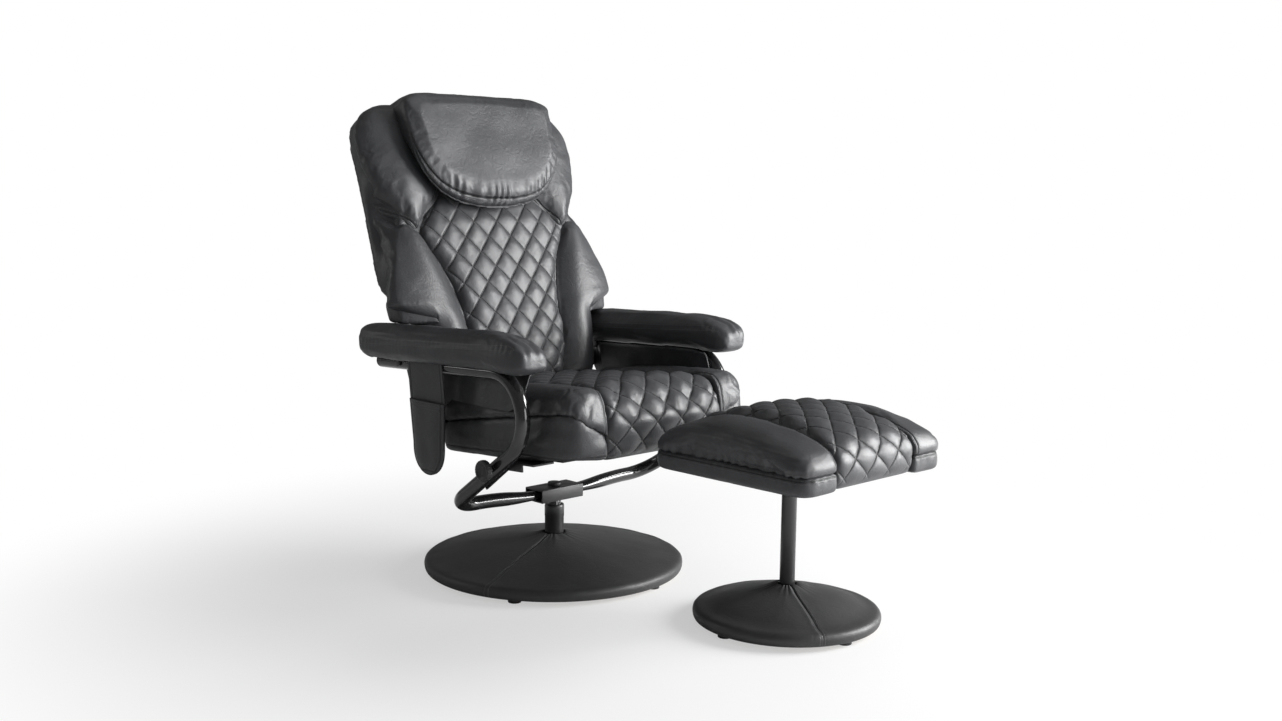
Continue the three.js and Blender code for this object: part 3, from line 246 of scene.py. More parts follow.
class Recipe:
    """The node tree of a material or a world, grown one node at a time."""

    def __init__(self, owner):
        self.owner = owner
        owner.use_nodes = True
        self.tree = owner.node_tree
        self.tree.nodes.clear()

    def node(self, kind, settings=None, inputs=None, output=0):
        """One node of any kind, with its settings and its sockets; returns one output."""
        made = self.tree.nodes.new(kind)
        for name, value in (settings or {}).items():
            setattr(made, name, value)
        for name, value in (inputs or {}).items():
            self.feed(made.inputs[name], value)
        return Wire(self, made.outputs[output]) if made.outputs else None

    def surface(self, **values):
        """Ends the tree in a Principled surface with those socket values."""
        inputs = {name.replace("_", " "): value for name, value in values.items()}
        shader = self.node("ShaderNodeBsdfPrincipled", None, inputs)
        self.node("ShaderNodeOutputMaterial", None, {"Surface": shader})
        return self.owner

    def feed(self, socket, value):
        if isinstance(value, Wire):
            self.tree.links.new(value.socket, socket)
        elif isinstance(value, tuple) and len(value) == 3 and socket.type == "RGBA":
            socket.default_value = (*value, 1)
        else:
            socket.default_value = value

    def place(self):
        return self.node("ShaderNodeTexCoord", output="Object")

    def noise(self, scale, detail=2.0, roughness=0.5, distortion=0.0):
        inputs = {
            "Vector": self.place(), "Scale": scale, "Detail": detail,
            "Roughness": roughness, "Distortion": distortion,
        }
        return self.node("ShaderNodeTexNoise", None, inputs, "Fac")

    def pebble(self, scale):
        inputs = {"Vector": self.place(), "Scale": scale}
        return self.node("ShaderNodeTexVoronoi", {"feature": "F1"}, inputs, "Distance")

    def mark(self, name):
        settings = {"attribute_type": "GEOMETRY", "attribute_name": name}
        return self.node("ShaderNodeAttribute", settings, None, "Fac")

    def blend(self, factor, first, second):
        """A colour between first and second; the Mix node's colour sockets are 6 and 7."""
        inputs = {0: factor, 6: first, 7: second}
        return self.node("ShaderNodeMix", {"data_type": "RGBA"}, inputs, 2)

    def bump(self, height, distance, strength, under=None):
        inputs = {"Height": height, "Distance": distance, "Strength": strength}
        if under is not None:
            inputs["Normal"] = under
        return self.node("ShaderNodeBump", None, inputs)


def tint(colour, factor):
    return tuple(min(1.0, channel * factor) for channel in colour)


def leather(name, colour, thread, stitched="", shine=0.44):
    """Pebbled faux leather, plain, with stitched seams, or quilted in diamonds; its stitched grooves
    are darkened with painted shade.
    """
    recipe = Recipe(bpy.data.materials.new(name))
    cloud = recipe.noise(5.0, 3.0)
    crease = recipe.noise(38.0, 5.0, 0.62, 1.1)
    ridge = 1.0 - abs(crease * 2.0 - 1.0) * 2.4
    grain = recipe.pebble(520.0) * 0.65 + recipe.noise(900.0, 2.0) * 0.35
    dusty = recipe.noise(16.0, 4.0, 0.6).rise(0.5, 0.75)
    tone = recipe.blend(cloud.rise(0.35, 0.7), tint(colour, 0.86), tint(colour, 1.14))
    tone = recipe.blend(dusty * 0.35, tone, tint(colour, 1.32))
    gloss = cloud * 0.12 + dusty * 0.06 + (shine - 0.08)
    normal = recipe.bump(ridge, 0.0007, 0.35)
    normal = recipe.bump(grain, 0.00030, 0.55, normal)
    if stitched == "quilt":
        across, along = recipe.mark("quilt_across"), recipe.mark("quilt_along")
        near_first = abs((across + 0.5).part() - 0.5)
        near_second = abs((along + 0.5).part() - 0.5)
        shown = recipe.mark("quilt_shown")
        near = near_first.least(near_second)
        groove_and_painted_shade = near.rise(0.055, 0.0) * shown
        dash_first = ((along * 9.0).part() - 0.5).rise(-0.22, -0.16)
        dash_second = ((across * 9.0).part() - 0.5).rise(-0.22, -0.16)
        stitch = (near_first.rise(0.020, 0.010) * dash_first).most(
            near_second.rise(0.020, 0.010) * dash_second
        ) * shown
        depth = 0.0016
    elif stitched == "seam":
        near, run = recipe.mark("seam_near"), recipe.mark("seam_run")
        groove_and_painted_shade = near.rise(0.78, 0.97)
        dash = ((run * 2.0).part() - 0.5).rise(-0.24, -0.18)
        row = abs(near - 0.58)
        stitch = row.rise(0.065, 0.03) * dash
        depth = 0.0014
    if stitched:
        # Painted shade: the colour is darkened along the quilting and seam grooves, where shade would
        # fall in the creases.
        tone = recipe.blend(groove_and_painted_shade * 0.75, tone, tint(colour, 0.22))
        tone = recipe.blend(stitch * 0.8, tone, thread)
        gloss = gloss + groove_and_painted_shade * 0.2
        normal = recipe.bump(stitch * 0.45 - groove_and_painted_shade, depth, 0.9, normal)
    return recipe.surface(Base_Color=tone, Roughness=gloss, Normal=normal)


def painted_steel(name, colour, shine):
    """Black powder coat or gloss paint, with a faint orange peel and rubbed patches."""
    recipe = Recipe(bpy.data.materials.new(name))
    peel = recipe.noise(240.0, 2.0)
    rubbed = recipe.noise(28.0, 5.0, 0.65).rise(0.55, 0.8)
    tone = recipe.blend(rubbed * 0.3, colour, tint(colour, 2.2))
    gloss = rubbed * 0.14 + recipe.noise(9.0, 2.0) * 0.06 + shine
    return recipe.surface(
        Base_Color=tone, Roughness=gloss, Metallic=0.0, Specular_IOR_Level=0.7,
        Coat_Weight=0.6 - shine, Coat_Roughness=0.08, Normal=recipe.bump(peel, 0.00012, 0.25),
    )


def moulded_plastic(name, colour):
    """Spark-textured black plastic."""
    recipe = Recipe(bpy.data.materials.new(name))
    spark = recipe.noise(700.0, 3.0, 0.7)
    wear = recipe.noise(40.0, 4.0).rise(0.5, 0.8)
    tone = recipe.blend(wear * 0.4, colour, tint(colour, 1.7))
    return recipe.surface(
        Base_Color=tone, Roughness=wear * 0.15 + 0.42, Normal=recipe.bump(spark, 0.0002, 0.4),
    )


def plywood(name, colour):
    """Bare plywood with long grain."""
    recipe = Recipe(bpy.data.materials.new(name))
    stretched = recipe.node(
        "ShaderNodeMapping", None, {"Vector": recipe.place(), "Scale": (60.0, 4.0, 60.0)},
        "Vector",
    )
    fibre = recipe.node(
        "ShaderNodeTexNoise", None,
        {"Vector": stretched, "Scale": 3.0, "Detail": 5.0, "Distortion": 0.6}, "Fac",
    )
    tone = recipe.blend(fibre.rise(0.3, 0.7), tint(colour, 0.7), tint(colour, 1.25))
    return recipe.surface(
        Base_Color=tone, Roughness=fibre * 0.2 + 0.6, Normal=recipe.bump(fibre, 0.0004, 0.4),
    )


FINISHES = {}


def finish(name):
    """The named finish, made when it is first asked for."""
    if name not in FINISHES:
        colours = bpy.context.scene.recliner_finish
        skin, thread = tuple(colours.leather), tuple(colours.thread)
        makers = {
            "plain leather": lambda: leather(name, skin, thread),
            "seamed leather": lambda: leather(name, skin, thread, "seam"),
            "quilted leather": lambda: leather(name, skin, thread, "quilt"),
            "base wrap": lambda: leather(name, tuple(colours.wrap), thread, "seam", 0.50),
            "gloss steel": lambda: painted_steel(name, tuple(colours.steel), 0.12),
            "satin steel": lambda: painted_steel(name, tint(colours.steel, 1.1), 0.40),
            "plastic": lambda: moulded_plastic(name, tuple(colours.plastic)),
            "plywood": lambda: plywood(name, tuple(colours.plywood)),
            "dust cover": lambda: leather(name, tint(colours.wrap, 0.5), thread, "", 0.7),
        }
        FINISHES[name] = makers[name]()
    return FINISHES[name]


# ---------------------------------------------------------------- mesh tools


def new_piece(name, bm):
    mesh = bpy.data.meshes.new(name)
    bm.to_mesh(mesh)
    bm.free()
    piece = bpy.data.objects.new(name, mesh)
    bpy.context.scene.collection.objects.link(piece)
    return piece


def bake(piece):
    """Applies the piece's modifiers."""
    graph = bpy.context.evaluated_depsgraph_get()
    shaped = piece.evaluated_get(graph)
    mesh = bpy.data.meshes.new_from_object(shaped, preserve_all_data_layers=True, depsgraph=graph)
    old = piece.data
    piece.modifiers.clear()
    piece.data = mesh
    bpy.data.meshes.remove(old)


def edit(piece, work):
    """Runs work(bm) on the piece's mesh."""
    bm = bmesh.new()
    bm.from_mesh(piece.data)
    work(bm)
    bm.to_mesh(piece.data)
    bm.free()


def coordinates(mesh):
    flat = np.empty(len(mesh.vertices) * 3)
    mesh.vertices.foreach_get("co", flat)
    return flat.reshape(-1, 3)


def normals(mesh):
    flat = np.empty(len(mesh.vertices) * 3)
    mesh.vertex_normals.foreach_get("vector", flat)
    return flat.reshape(-1, 3)


def place_vertices(mesh, places):
    mesh.vertices.foreach_set("co", places.astype(np.float32).ravel())
    mesh.update()


def local_mm(places, group):
    """Row coordinates as millimetres in a group's own axes."""
    back = np.array(group.inverted())
    return (places @ back[:3, :3].T + back[:3, 3]) / MM


def turned(directions, group):
    return directions @ np.array(group.to_3x3())


def copy_of(name, *nodes):
    """One merged copy of CAD nodes."""
    bm = bmesh.new()
    for node in nodes:
        bm.from_mesh(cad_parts[node].data)
    bmesh.ops.remove_doubles(bm, verts=bm.verts, dist=2e-5)
    return new_piece(name, bm)


def dress(piece, material, body, *nodes, sharp=None):
    """Gives the piece its finish, smooth shading, its body and the nodes it stands for."""
    piece.data.materials.clear()
    piece.data.materials.append(finish(material))
    piece.data.shade_smooth()
    if sharp is not None:
        piece.data.set_sharp_from_angle(angle=math.radians(sharp))
    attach(piece, body)
    if nodes:
        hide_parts(*nodes)
    return piece


def relax(piece, rounds, chosen=None):
    """Smooths the mesh; chosen tells for each vertex whether it may move."""
    def work(bm):
        verts = [v for v in bm.verts if chosen is None or chosen[v.index]]
        for _ in range(rounds):
            bmesh.ops.smooth_vert(
                bm, verts=verts, factor=0.5, use_axis_x=True, use_axis_y=True, use_axis_z=True,
            )
    edit(piece, work)


def voxels(piece, size):
    remesh = piece.modifiers.new("cells", "REMESH")
    remesh.mode = "VOXEL"
    remesh.voxel_size = size
    bake(piece)


def refine(piece):
    """Divides each face once, smoothly."""
    fine = piece.modifiers.new("fine", "SUBSURF")
    fine.levels = fine.render_levels = 1
    bake(piece)


def fill(jobs):
    """Fills cushions together. Each job is (piece, cap in mm, directions it may swell in)."""
    stuffing = bpy.context.scene.recliner_stuffing
    before = {piece: coordinates(piece.data) for piece, _, _ in jobs}
    facing = {piece: normals(piece.data) for piece, _, _ in jobs}
    for piece, _, _ in jobs:
        cloth = piece.modifiers.new("filling", "CLOTH")
        cloth.settings.quality = 4
        cloth.settings.use_pressure = True
        cloth.settings.uniform_pressure_force = stuffing.pressure
        cloth.settings.effector_weights.gravity = 0
        cloth.point_cache.frame_start = 1
        cloth.point_cache.frame_end = stuffing.frames
    for step in range(1, stuffing.frames + 1):
        bpy.context.scene.frame_set(step)
    after = {}
    for piece, _, _ in jobs:
        bake(piece)
        after[piece] = coordinates(piece.data)
    bpy.context.scene.frame_set(1)
    for piece, cap, directions in jobs:
        moved = after[piece] - before[piece]
        length = np.linalg.norm(moved, axis=1, keepdims=True)
        moved *= np.minimum(1.0, cap * MM / np.maximum(length, 1e-9))
        toward = np.max(facing[piece] @ np.array(directions).T, axis=1)
        free = np.clip(toward * 1.6 + 0.1, 0, 1)[:, None]
        place_vertices(piece.data, before[piece] + moved * free)


def cushion(name, *nodes, voxel=None, rounds=None, grow=1.5, shape=None):
    """A smoothed copy of CAD cushions, grown by a few mm and ready to be filled."""
    stuffing = bpy.context.scene.recliner_stuffing
    piece = copy_of(name, *nodes)
    if shape is not None:
        settle(piece, *shape)
    mesh = piece.data
    place_vertices(mesh, coordinates(mesh) + normals(mesh) * grow * MM)
    voxels(piece, voxel or stuffing.voxel)
    relax(piece, stuffing.smoothing if rounds is None else rounds)
    return piece


def carve(piece, group, shape):
    """Moves vertices along their normals by shape(places, normals) in mm, and keeps its marks."""
    mesh = piece.data
    places, facing = coordinates(mesh), normals(mesh)
    lift, marks = shape(local_mm(places, group), turned(facing, group))
    place_vertices(mesh, places + facing * lift[:, None] * MM)
    for name, values in marks.items():
        layer = mesh.attributes.new(name, "FLOAT", "POINT")
        layer.data.foreach_set("value", values.astype(np.float32))


def settle(piece, group, shape):
    """Moves vertices to shape(places), in the group's own mm."""
    places = shape(local_mm(coordinates(piece.data), group))
    turn = np.array(group)
    place_vertices(piece.data, places * MM @ turn[:3, :3].T + turn[:3, 3])


def ease(value, low, high):
    share = np.clip((value - low) / (high - low), 0, 1)
    return share * share * (3 - 2 * share)


def rumple(places, size, seed):
    """Smooth noise between about -0.7 and 0.7, with lumps of that size."""
    shift = Vector((seed * 13.7, seed * 5.1, seed * 9.3))
    return np.array([noise.noise(Vector(p) / size + shift) for p in places])


def along(stations, at):
    """Eased value between stations (place, value), as a draughtsman's spline."""
    x = np.array([s[0] for s in stations], float)
    y = np.array([s[1] for s in stations], float)
    last = len(x) - 1
    before, after = np.maximum(np.arange(last + 1) - 1, 0), np.minimum(np.arange(last + 1) + 1, last)
    slope = (y[after] - y[before]) / (x[after] - x[before])
    at = np.clip(at, x[0], x[-1])
    i = np.clip(np.searchsorted(x, at, side="right") - 1, 0, last - 1)
    step = x[i + 1] - x[i]
    t = (at - x[i]) / step
    return (
        (2 * t ** 3 - 3 * t ** 2 + 1) * y[i] + (t ** 3 - 2 * t ** 2 + t) * slope[i] * step
        + (3 * t ** 2 - 2 * t ** 3) * y[i + 1] + (t ** 3 - t ** 2) * slope[i + 1] * step
    )


def diamonds(a, b, pitch_a, pitch_b, puff, shown):
    """Lift and marks of diamond quilting over the places (a, b)."""
    first, second = a / pitch_a + b / pitch_b, a / pitch_a - b / pitch_b
    swell = np.sqrt(np.abs(np.sin(math.pi * first) * np.sin(math.pi * second)))
    near = np.minimum(np.abs(first - np.round(first)), np.abs(second - np.round(second)))
    dent = np.exp(-((near / 0.035) ** 2))
    lift = (puff * (swell - 0.5) - 1.2 * dent) * shown
    marks = {"quilt_across": first, "quilt_along": second, "quilt_shown": shown}
    return lift, marks


def seams(*lines):
    """Marks of stitched seams, from (offset, run) pairs in mm: the nearest line counts."""
    offsets = np.array([np.abs(offset) for offset, _ in lines])
    runs = np.array([np.broadcast_to(run, offsets.shape[1:]) for _, run in lines])
    nearest = offsets.argmin(axis=0)
    pick = np.arange(offsets.shape[1])
    offset, run = offsets[nearest, pick], runs[nearest, pick]
    near = np.clip(1 - offset / 12.0, 0, 1)
    return offset, {"seam_near": near, "seam_run": run / 10.0}


def turn_profile(name, profile, centre, steps, closed=False):
    """A turned piece: an outline of (radius, height) in mm, spun about an upright axis."""
    bm = bmesh.new()
    verts = [bm.verts.new((r * MM, 0, z * MM)) for r, z in profile]
    edges = [bm.edges.new(pair) for pair in zip(verts, verts[1:])]
    if closed:
        edges.append(bm.edges.new((verts[-1], verts[0])))
    bmesh.ops.spin(
        bm, geom=verts + edges, cent=(0, 0, 0), axis=(0, 0, 1), dvec=(0, 0, 0),
        angle=math.tau, steps=steps, use_merge=True, use_duplicate=False,
    )
    bmesh.ops.remove_doubles(bm, verts=bm.verts, dist=1e-6)
    bmesh.ops.recalc_face_normals(bm, faces=bm.faces)
    bmesh.ops.translate(bm, verts=bm.verts, vec=(centre.x, centre.y, 0))
    return new_piece(name, bm)


def sweep(name, path, radius, sides=36):
    """A round bar along a path of places, closed at both ends."""
    bm = bmesh.new()
    points = [Vector(p) for p in path]
    steps = [(b - a).normalized() for a, b in zip(points, points[1:])]
    tangents = [steps[0]] + [(a + b).normalized() for a, b in zip(steps, steps[1:])] + [steps[-1]]
    ring = bmesh.ops.create_circle(bm, cap_ends=True, radius=radius, segments=sides)["verts"]
    turn = Vector((0, 0, 1)).rotation_difference(tangents[0])
    place = Matrix.Translation(points[0]) @ turn.to_matrix().to_4x4()
    bmesh.ops.transform(bm, matrix=place, verts=ring)
    edges = list({edge for vert in ring for edge in vert.link_edges})
    for i in range(1, len(points)):
        turn = tangents[i - 1].rotation_difference(tangents[i]) @ turn
        ahead = Matrix.Translation(points[i]) @ turn.to_matrix().to_4x4()
        made = bmesh.ops.extrude_edge_only(bm, edges=edges)["geom"]
        ring = [item for item in made if isinstance(item, bmesh.types.BMVert)]
        edges = [item for item in made if isinstance(item, bmesh.types.BMEdge)]
        bmesh.ops.transform(bm, matrix=ahead @ place.inverted(), verts=ring)
        place = ahead
    bmesh.ops.contextual_create(bm, geom=edges)
    bmesh.ops.recalc_face_normals(bm, faces=bm.faces)
    return new_piece(name, bm)


def machined(node, material, body, bevel=0.8):
    """A bevelled copy of a hard CAD node, which it replaces."""
    piece = copy_of("fine_" + node, node)

    def work(bm):
        bmesh.ops.dissolve_limit(
            bm, angle_limit=math.radians(1.0), use_dissolve_boundaries=False,
            verts=bm.verts, edges=bm.edges,
        )
        edges = [e for e in bm.edges if len(e.link_faces) == 2 and e.calc_face_angle(0) > 0.8]
        bmesh.ops.bevel(
            bm, geom=edges, offset=bevel * MM, offset_type="OFFSET", affect="EDGES", segments=2,
            profile=0.5, material=-1, clamp_overlap=True,
        )
    edit(piece, work)
    return dress(piece, material, body, node, sharp=35)


# ---------------------------------------------------------------- pieces


def wrapped_base(name, node, body, radius, hub_radius, hub_z, centre, seam_angle):
    """A round base under stretched leather, with one stitched radial seam."""
    rise = hub_z - RIM_TOP_Z
    profile = [
        (hub_radius, hub_z - 5), (hub_radius, hub_z), (hub_radius + 8, hub_z - 1.2),
        (hub_radius + 16, hub_z - 4), (radius * 0.26, hub_z - rise * 0.25),
        (radius * 0.45, hub_z - rise * 0.42), (radius * 0.7, RIM_TOP_Z + rise * 0.30),
        (radius - 30, 36.5), (radius - 14, 34.6), (radius - 6, 32.4), (radius - 1.6, 28),
        (radius, 22), (radius - 1, 15), (radius - 3, 10), (radius - 6, 9), (radius - 9, 9),
        (radius - 8.8, 26), (radius - 14, 31), (radius * 0.45, hub_z - 3 - rise * 0.42),
    ]
    piece = turn_profile(name, profile, centre, 120, closed=True)
    refine(piece)
    angle = math.radians(seam_angle)
    group = Matrix.Translation((centre.x, centre.y, 0))

    def shape(places, facing):
        x, y = places[:, 0], places[:, 1]
        reach = np.hypot(x, y)
        run = x * math.cos(angle) + y * math.sin(angle)
        offset = np.where(run > 0, -x * math.sin(angle) + y * math.cos(angle), NO_SEAM)
        side, marks = seams((offset, reach))
        top = ease(facing[:, 2], 0.0, 0.5)
        around = np.arctan2(y, x)
        pleats = np.sin(around * 17 + np.sin(around * 5) * 2) * np.exp(-(reach - hub_radius) / 16)
        lift = -1.3 * np.exp(-((side / 2.6) ** 2)) + 0.5 * np.exp(-(((side - 6) / 3) ** 2))
        lift += pleats * 1.1 + 0.8 * rumple(places, 45.0, seam_angle * 0.1)
        return lift * top, marks
    carve(piece, group, shape)
    return dress(piece, "base wrap", body, node)


def turned_rod(name, node, body, material, radius, low, high, centre):
    """An upright turned rod with its edges broken."""
    edge = 1.5
    profile = [
        (0, low), (radius - edge, low), (radius - edge * 0.3, low + edge * 0.3),
        (radius, low + edge), (radius, high - edge), (radius - edge * 0.3, high - edge * 0.3),
        (radius - edge, high), (0, high),
    ]
    piece = turn_profile(name, profile, centre, 64)
    return dress(piece, material, body, node, sharp=40)


class RECLINER_OT_base(bpy.types.Operator):
    """Round base, its glides and the column"""

    bl_idname = "recliner.base"
    bl_label = "Base and Column"
    bl_options = {"REGISTER", "UNDO"}

    def execute(self, context):
        wrapped_base(
            "base_wrap", "base_cover", "base", radius=285, hub_radius=23, hub_z=85,
            centre=SWIVEL, seam_angle=SEAM_OF_BASE,
        )
        machined("base_board", "plywood", "base")
        for i in range(1, 6):
            machined(f"glide_{i}", "plastic", "base", 1.5)
        sleeve = [
            (14.8, 29), (21, 29), (21, 120), (21.6, 121), (21.6, 143), (21, 146), (20, 147),
            (14.8, 147),
        ]
        piece = turn_profile("column_tube", sleeve, SWIVEL, 64, closed=True)
        dress(piece, "satin steel", "base", "column_sleeve", sharp=40)
        turned_rod(
            "spindle_rod", "spindle", "carriage", "gloss steel", radius=14.5, low=34, high=159.7,
            centre=SWIVEL,
        )
        return {"FINISHED"}


def tube_path():
    """The bent frame's axis, from the right arm's rear end to the left one's."""
    corner, hook, slope, rear_end = 65, 88, 35.5, 236
    crossing = (2, 30, 62, 76, 90, 105, 120, 135, 150, 170, 190, 208)
    a, b = math.radians(slope), math.radians(ARM_TILT)
    upward = Vector((0, -math.cos(a), math.sin(a)))
    half = []
    for side in (-1, 1):
        inward = Vector((-side, 0, 0))
        bend = Vector((side * TUBE_HALF_SPAN, 0, TUBE_CROSS_Z)) + (inward + upward) * corner
        points = [Vector((side * x, 0, TUBE_CROSS_Z)) for x in crossing]
        for i in range(17):
            angle = math.radians(90 * i / 16)
            turn = upward * corner * math.cos(angle)
            points.append(bend - turn - inward * corner * math.sin(angle))
        p = math.cos(a) * TUBE_CROSS_Z + hook
        q = math.cos(b) * ARM_AXIS_Z - hook
        determinant = math.sin(a) * math.cos(b) - math.cos(a) * math.sin(b)
        centre_y = (p * math.cos(b) - q * math.cos(a)) / determinant
        centre_z = (math.sin(a) * q - math.sin(b) * p) / determinant
        for i in range(37):
            angle = math.radians(-90 - slope + (-180 - ARM_TILT + slope) * i / 36)
            y, z = centre_y + hook * math.cos(angle), centre_z + hook * math.sin(angle)
            points.append(Vector((side * TUBE_HALF_SPAN, y, z)))
        end_z = ARM_AXIS_Z - math.tan(b) * rear_end
        points.append(Vector((side * TUBE_HALF_SPAN, rear_end, end_z)))
        half.append(points)
    whole = half[0][::-1] + half[1]
    return [Vector((SWIVEL.x, SWIVEL.y, 0)) + point * MM for point in whole]


class RECLINER_OT_frame(bpy.types.Operator):
    """Bent tube, its plugs, the yoke and the pivot bolts"""

    bl_idname = "recliner.frame"
    bl_label = "Tube Frame"
    bl_options = {"REGISTER", "UNDO"}

    def execute(self, context):
        piece = sweep("bent_tube", tube_path(), TUBE_RADIUS * MM)
        places = coordinates(piece.data)
        x, z = np.abs(places[:, 0] - SWIVEL.x) / MM, places[:, 2] / MM
        crossing = z < TUBE_CROSS_Z + 2 * TUBE_RADIUS
        pressed_height = 21.4  # of the tube, flattened where the yoke grips it
        squash = 1 - ease(-x, -150, -62) * (1 - pressed_height / (2 * TUBE_RADIUS)) * crossing
        lower = ease(-x, -215, -62) * 8.0 * crossing
        places[:, 2] = (TUBE_CROSS_Z - lower + (z - TUBE_CROSS_Z) * squash) * MM
        place_vertices(piece.data, places)
        dress(piece, "gloss steel", "carriage", "frame_tube", sharp=50)
        machined("yoke_bracket", "satin steel", "carriage", 1.4)
        machined("yoke_bolt", "plastic", "carriage", 1.2)
        for hand, _ in SIDES:
            machined(f"tube_plug_{hand}", "plastic", "carriage", 1.0)
            machined(f"pivot_bolt_{hand}", "satin steel", "carriage", 0.5)
        machined("slide_bolt_left", "satin steel", "carriage", 0.5)
        return {"FINISHED"}


class RECLINER_OT_knob(bpy.types.Operator):
    """Tension knob on the right strut"""

    bl_idname = "recliner.knob"
    bl_label = "Tension Knob"
    bl_options = {"REGISTER", "UNDO"}

    def execute(self, context):
        reach, grip_from, grips, strut_x = 21, 17, 24, -0.256
        low, high = (Vector(v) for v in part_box("tension_knob"))
        outer = (high.x if abs(high.x) > abs(low.x) else low.x) / MM
        middle = Vector((0, (low.y + high.y) / 2, (low.z + high.z) / 2))
        profile = [
            (0, 0), (10, 0), (10, 6), (18, 7.5), (20.4, 9), (21, 11), (21, 18), (20.2, 20.2),
            (18.4, 21), (16.6, 20.4), (15, 18.6), (9, 16.6), (7.5, 17.4), (6, 17.8), (0, 18),
        ]
        piece = turn_profile("knob_wheel", profile, Vector((0, 0, 0)), 96)

        def work(bm):
            for vert in bm.verts:
                radius = math.hypot(vert.co.x, vert.co.y)
                if radius > grip_from * MM:
                    grip = 0.5 * MM * math.cos(math.atan2(vert.co.y, vert.co.x) * grips)
                    vert.co.x += vert.co.x / radius * grip
                    vert.co.y += vert.co.y / radius * grip
            out = Matrix.Rotation(-math.pi / 2, 4, "Y")
            move = Matrix.Translation(((outer + reach) * MM, middle.y, middle.z))
            bmesh.ops.transform(bm, matrix=move @ out, verts=bm.verts)
        edit(piece, work)
        ends = [((outer + (reach + 2)) * MM, middle.y, middle.z), (strut_x, middle.y, middle.z)]
        shank = sweep("knob_shank", ends, 4 * MM, 24)
        dress(shank, "satin steel", "knob", sharp=40)
        dress(piece, "plastic", "knob", "tension_knob", sharp=50)
        return {"FINISHED"}


class RECLINER_OT_mechanism(bpy.types.Operator):
    """Brackets, hinges, motors and the control box"""

    bl_idname = "recliner.mechanism"
    bl_label = "Mechanism"
    bl_options = {"REGISTER", "UNDO"}

    def execute(self, context):
        for hand, _ in SIDES:
            machined(f"seat_slide_bracket_{hand}", "satin steel", "seat", 0.6)
            machined(f"seat_hinge_{hand}", "satin steel", "seat", 0.6)
            machined(f"back_hinge_plate_{hand}", "satin steel", "back", 0.6)
        machined("control_box", "plastic", "seat", 3.0)
        machined("power_inlet", "plastic", "seat", 0.6)
        board = machined("seat_board", "dust cover", "seat", 1.0)
        settle(board, SEAT, lambda places: places * (0.84, 0.8, 1))
        for node in ("massage_motor_seat", "massage_motor_back_lower", "massage_motor_back_upper"):
            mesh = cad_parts[node].data
            mesh.materials.clear()
            mesh.materials.append(finish("plastic"))
        return {"FINISHED"}


class RECLINER_OT_arms(bpy.types.Operator):
    """Arm pads, their boards and hanging panels"""

    bl_idname = "recliner.arms"
    bl_label = "Arms"
    bl_options = {"REGISTER", "UNDO"}

    def execute(self, context):
        pads = []
        for hand, side in SIDES:
            pad = cushion(f"arm_cushion_{hand}", f"arm_pad_{hand}", voxel=0.0045, rounds=6, grow=0.0)
            pads.append((hand, side, pad))
        out = [(1, 0, 0), (-1, 0, 0), (0, 0, 1)]
        fill([(pad, 4.0, out) for _, _, pad in pads])
        for hand, side, pad in pads:
            refine(pad)
            settle(pad, ARM, lambda places: places * (1, 1, 0.94))
            carve(pad, ARM, arm_shape(side))
            dress(pad, "seamed leather", "carriage", f"arm_pad_{hand}")
            machined(f"arm_board_{hand}", "plywood", "carriage", 1.0)
            hanging_panel(hand, side)
        return {"FINISHED"}


def arm_shape(side):
    def shape(places, facing):
        x, y, z = places[:, 0] * side - 284.5, places[:, 1], places[:, 2]
        flank = ease(np.abs(facing[:, 0]), 0.35, 0.8)
        offset, marks = seams((z - 50 + 0.02 * y, y))
        marks["seam_near"] = np.minimum(marks["seam_near"], 0.72) * flank
        nose = ease(-y, 150, 262)
        tail = ease(y, 200, 268)
        gathers = np.sin(y / 2.6 + np.sin(y / 17) * 2) * np.exp(-np.abs(offset) / 9)
        lift = -0.6 * np.exp(-((offset / 4.0) ** 2)) * flank
        lift += gathers * 0.8 * flank * (0.2 + nose + tail)
        creases = np.sin(x / 4.2 + rumple(places, 30, 3) * 4) * nose * ease(facing[:, 2], -0.2, 0.6)
        lift += creases * 1.1
        long_folds = np.sin(z / 5.5 + rumple(places * (1, 0.2, 1), 22, 4) * 5)
        lift += long_folds * 0.55 * flank * (1 - nose)
        lift += rumple(places, 55, 5) * 2.2
        under = ease(-facing[:, 2], 0.2, 0.7)
        return lift * (1 - under), marks
    return shape


def hanging_panel(hand, side):
    """Thin leather panel hung from the arm's inner edge."""
    front_y, reach, hem_z, top_x, hem_x = -214, 338, 402, 244.5, 262.4
    bm = bmesh.new()
    bmesh.ops.create_grid(bm, x_segments=80, y_segments=24, size=0.5)
    for vert in bm.verts:
        share, level = vert.co.x + 0.5, 0.5 - vert.co.y
        y = front_y + share * reach
        nose_dip = 18 * max(0, 1 - (y + 272) / 150) ** 2
        top = ARM_AXIS_Z - math.tan(math.radians(ARM_TILT)) * y + 6.4 - nose_dip
        behind = min(1.0, max(0.0, (y - 28) / 22))
        bottom = hem_z + 44 * max(0, 1 - share / 0.16) ** 1.5 - 18 * behind
        z = top + (bottom - top) * level
        draw = min(1.0, level / 0.35)
        fold = 1.2 * (1 - share) * math.sin(share * 34) * draw
        fold += 1.0 * noise.noise(Vector((share * 6, level * 3, side * 4))) * draw
        inward = min(1.0, max(0.0, (y + 10) / 44))
        foot = hem_x - 5.6 * inward * inward * (3 - 2 * inward)
        x = top_x + (foot - top_x) * level ** 0.55 + fold
        vert.co = Vector((SWIVEL.x + side * x * MM, SWIVEL.y + y * MM, z * MM))
    area = sum(face.calc_area() for face in bm.faces)
    panel = new_piece(f"arm_panel_{hand}", bm)
    thick = panel.modifiers.new("thickness", "SOLIDIFY")
    thick.thickness = 1.6 * MM
    thick.offset = 0
    bake(panel)
    dress(panel, "plain leather", "carriage", f"arm_curtain_{hand}", sharp=50)


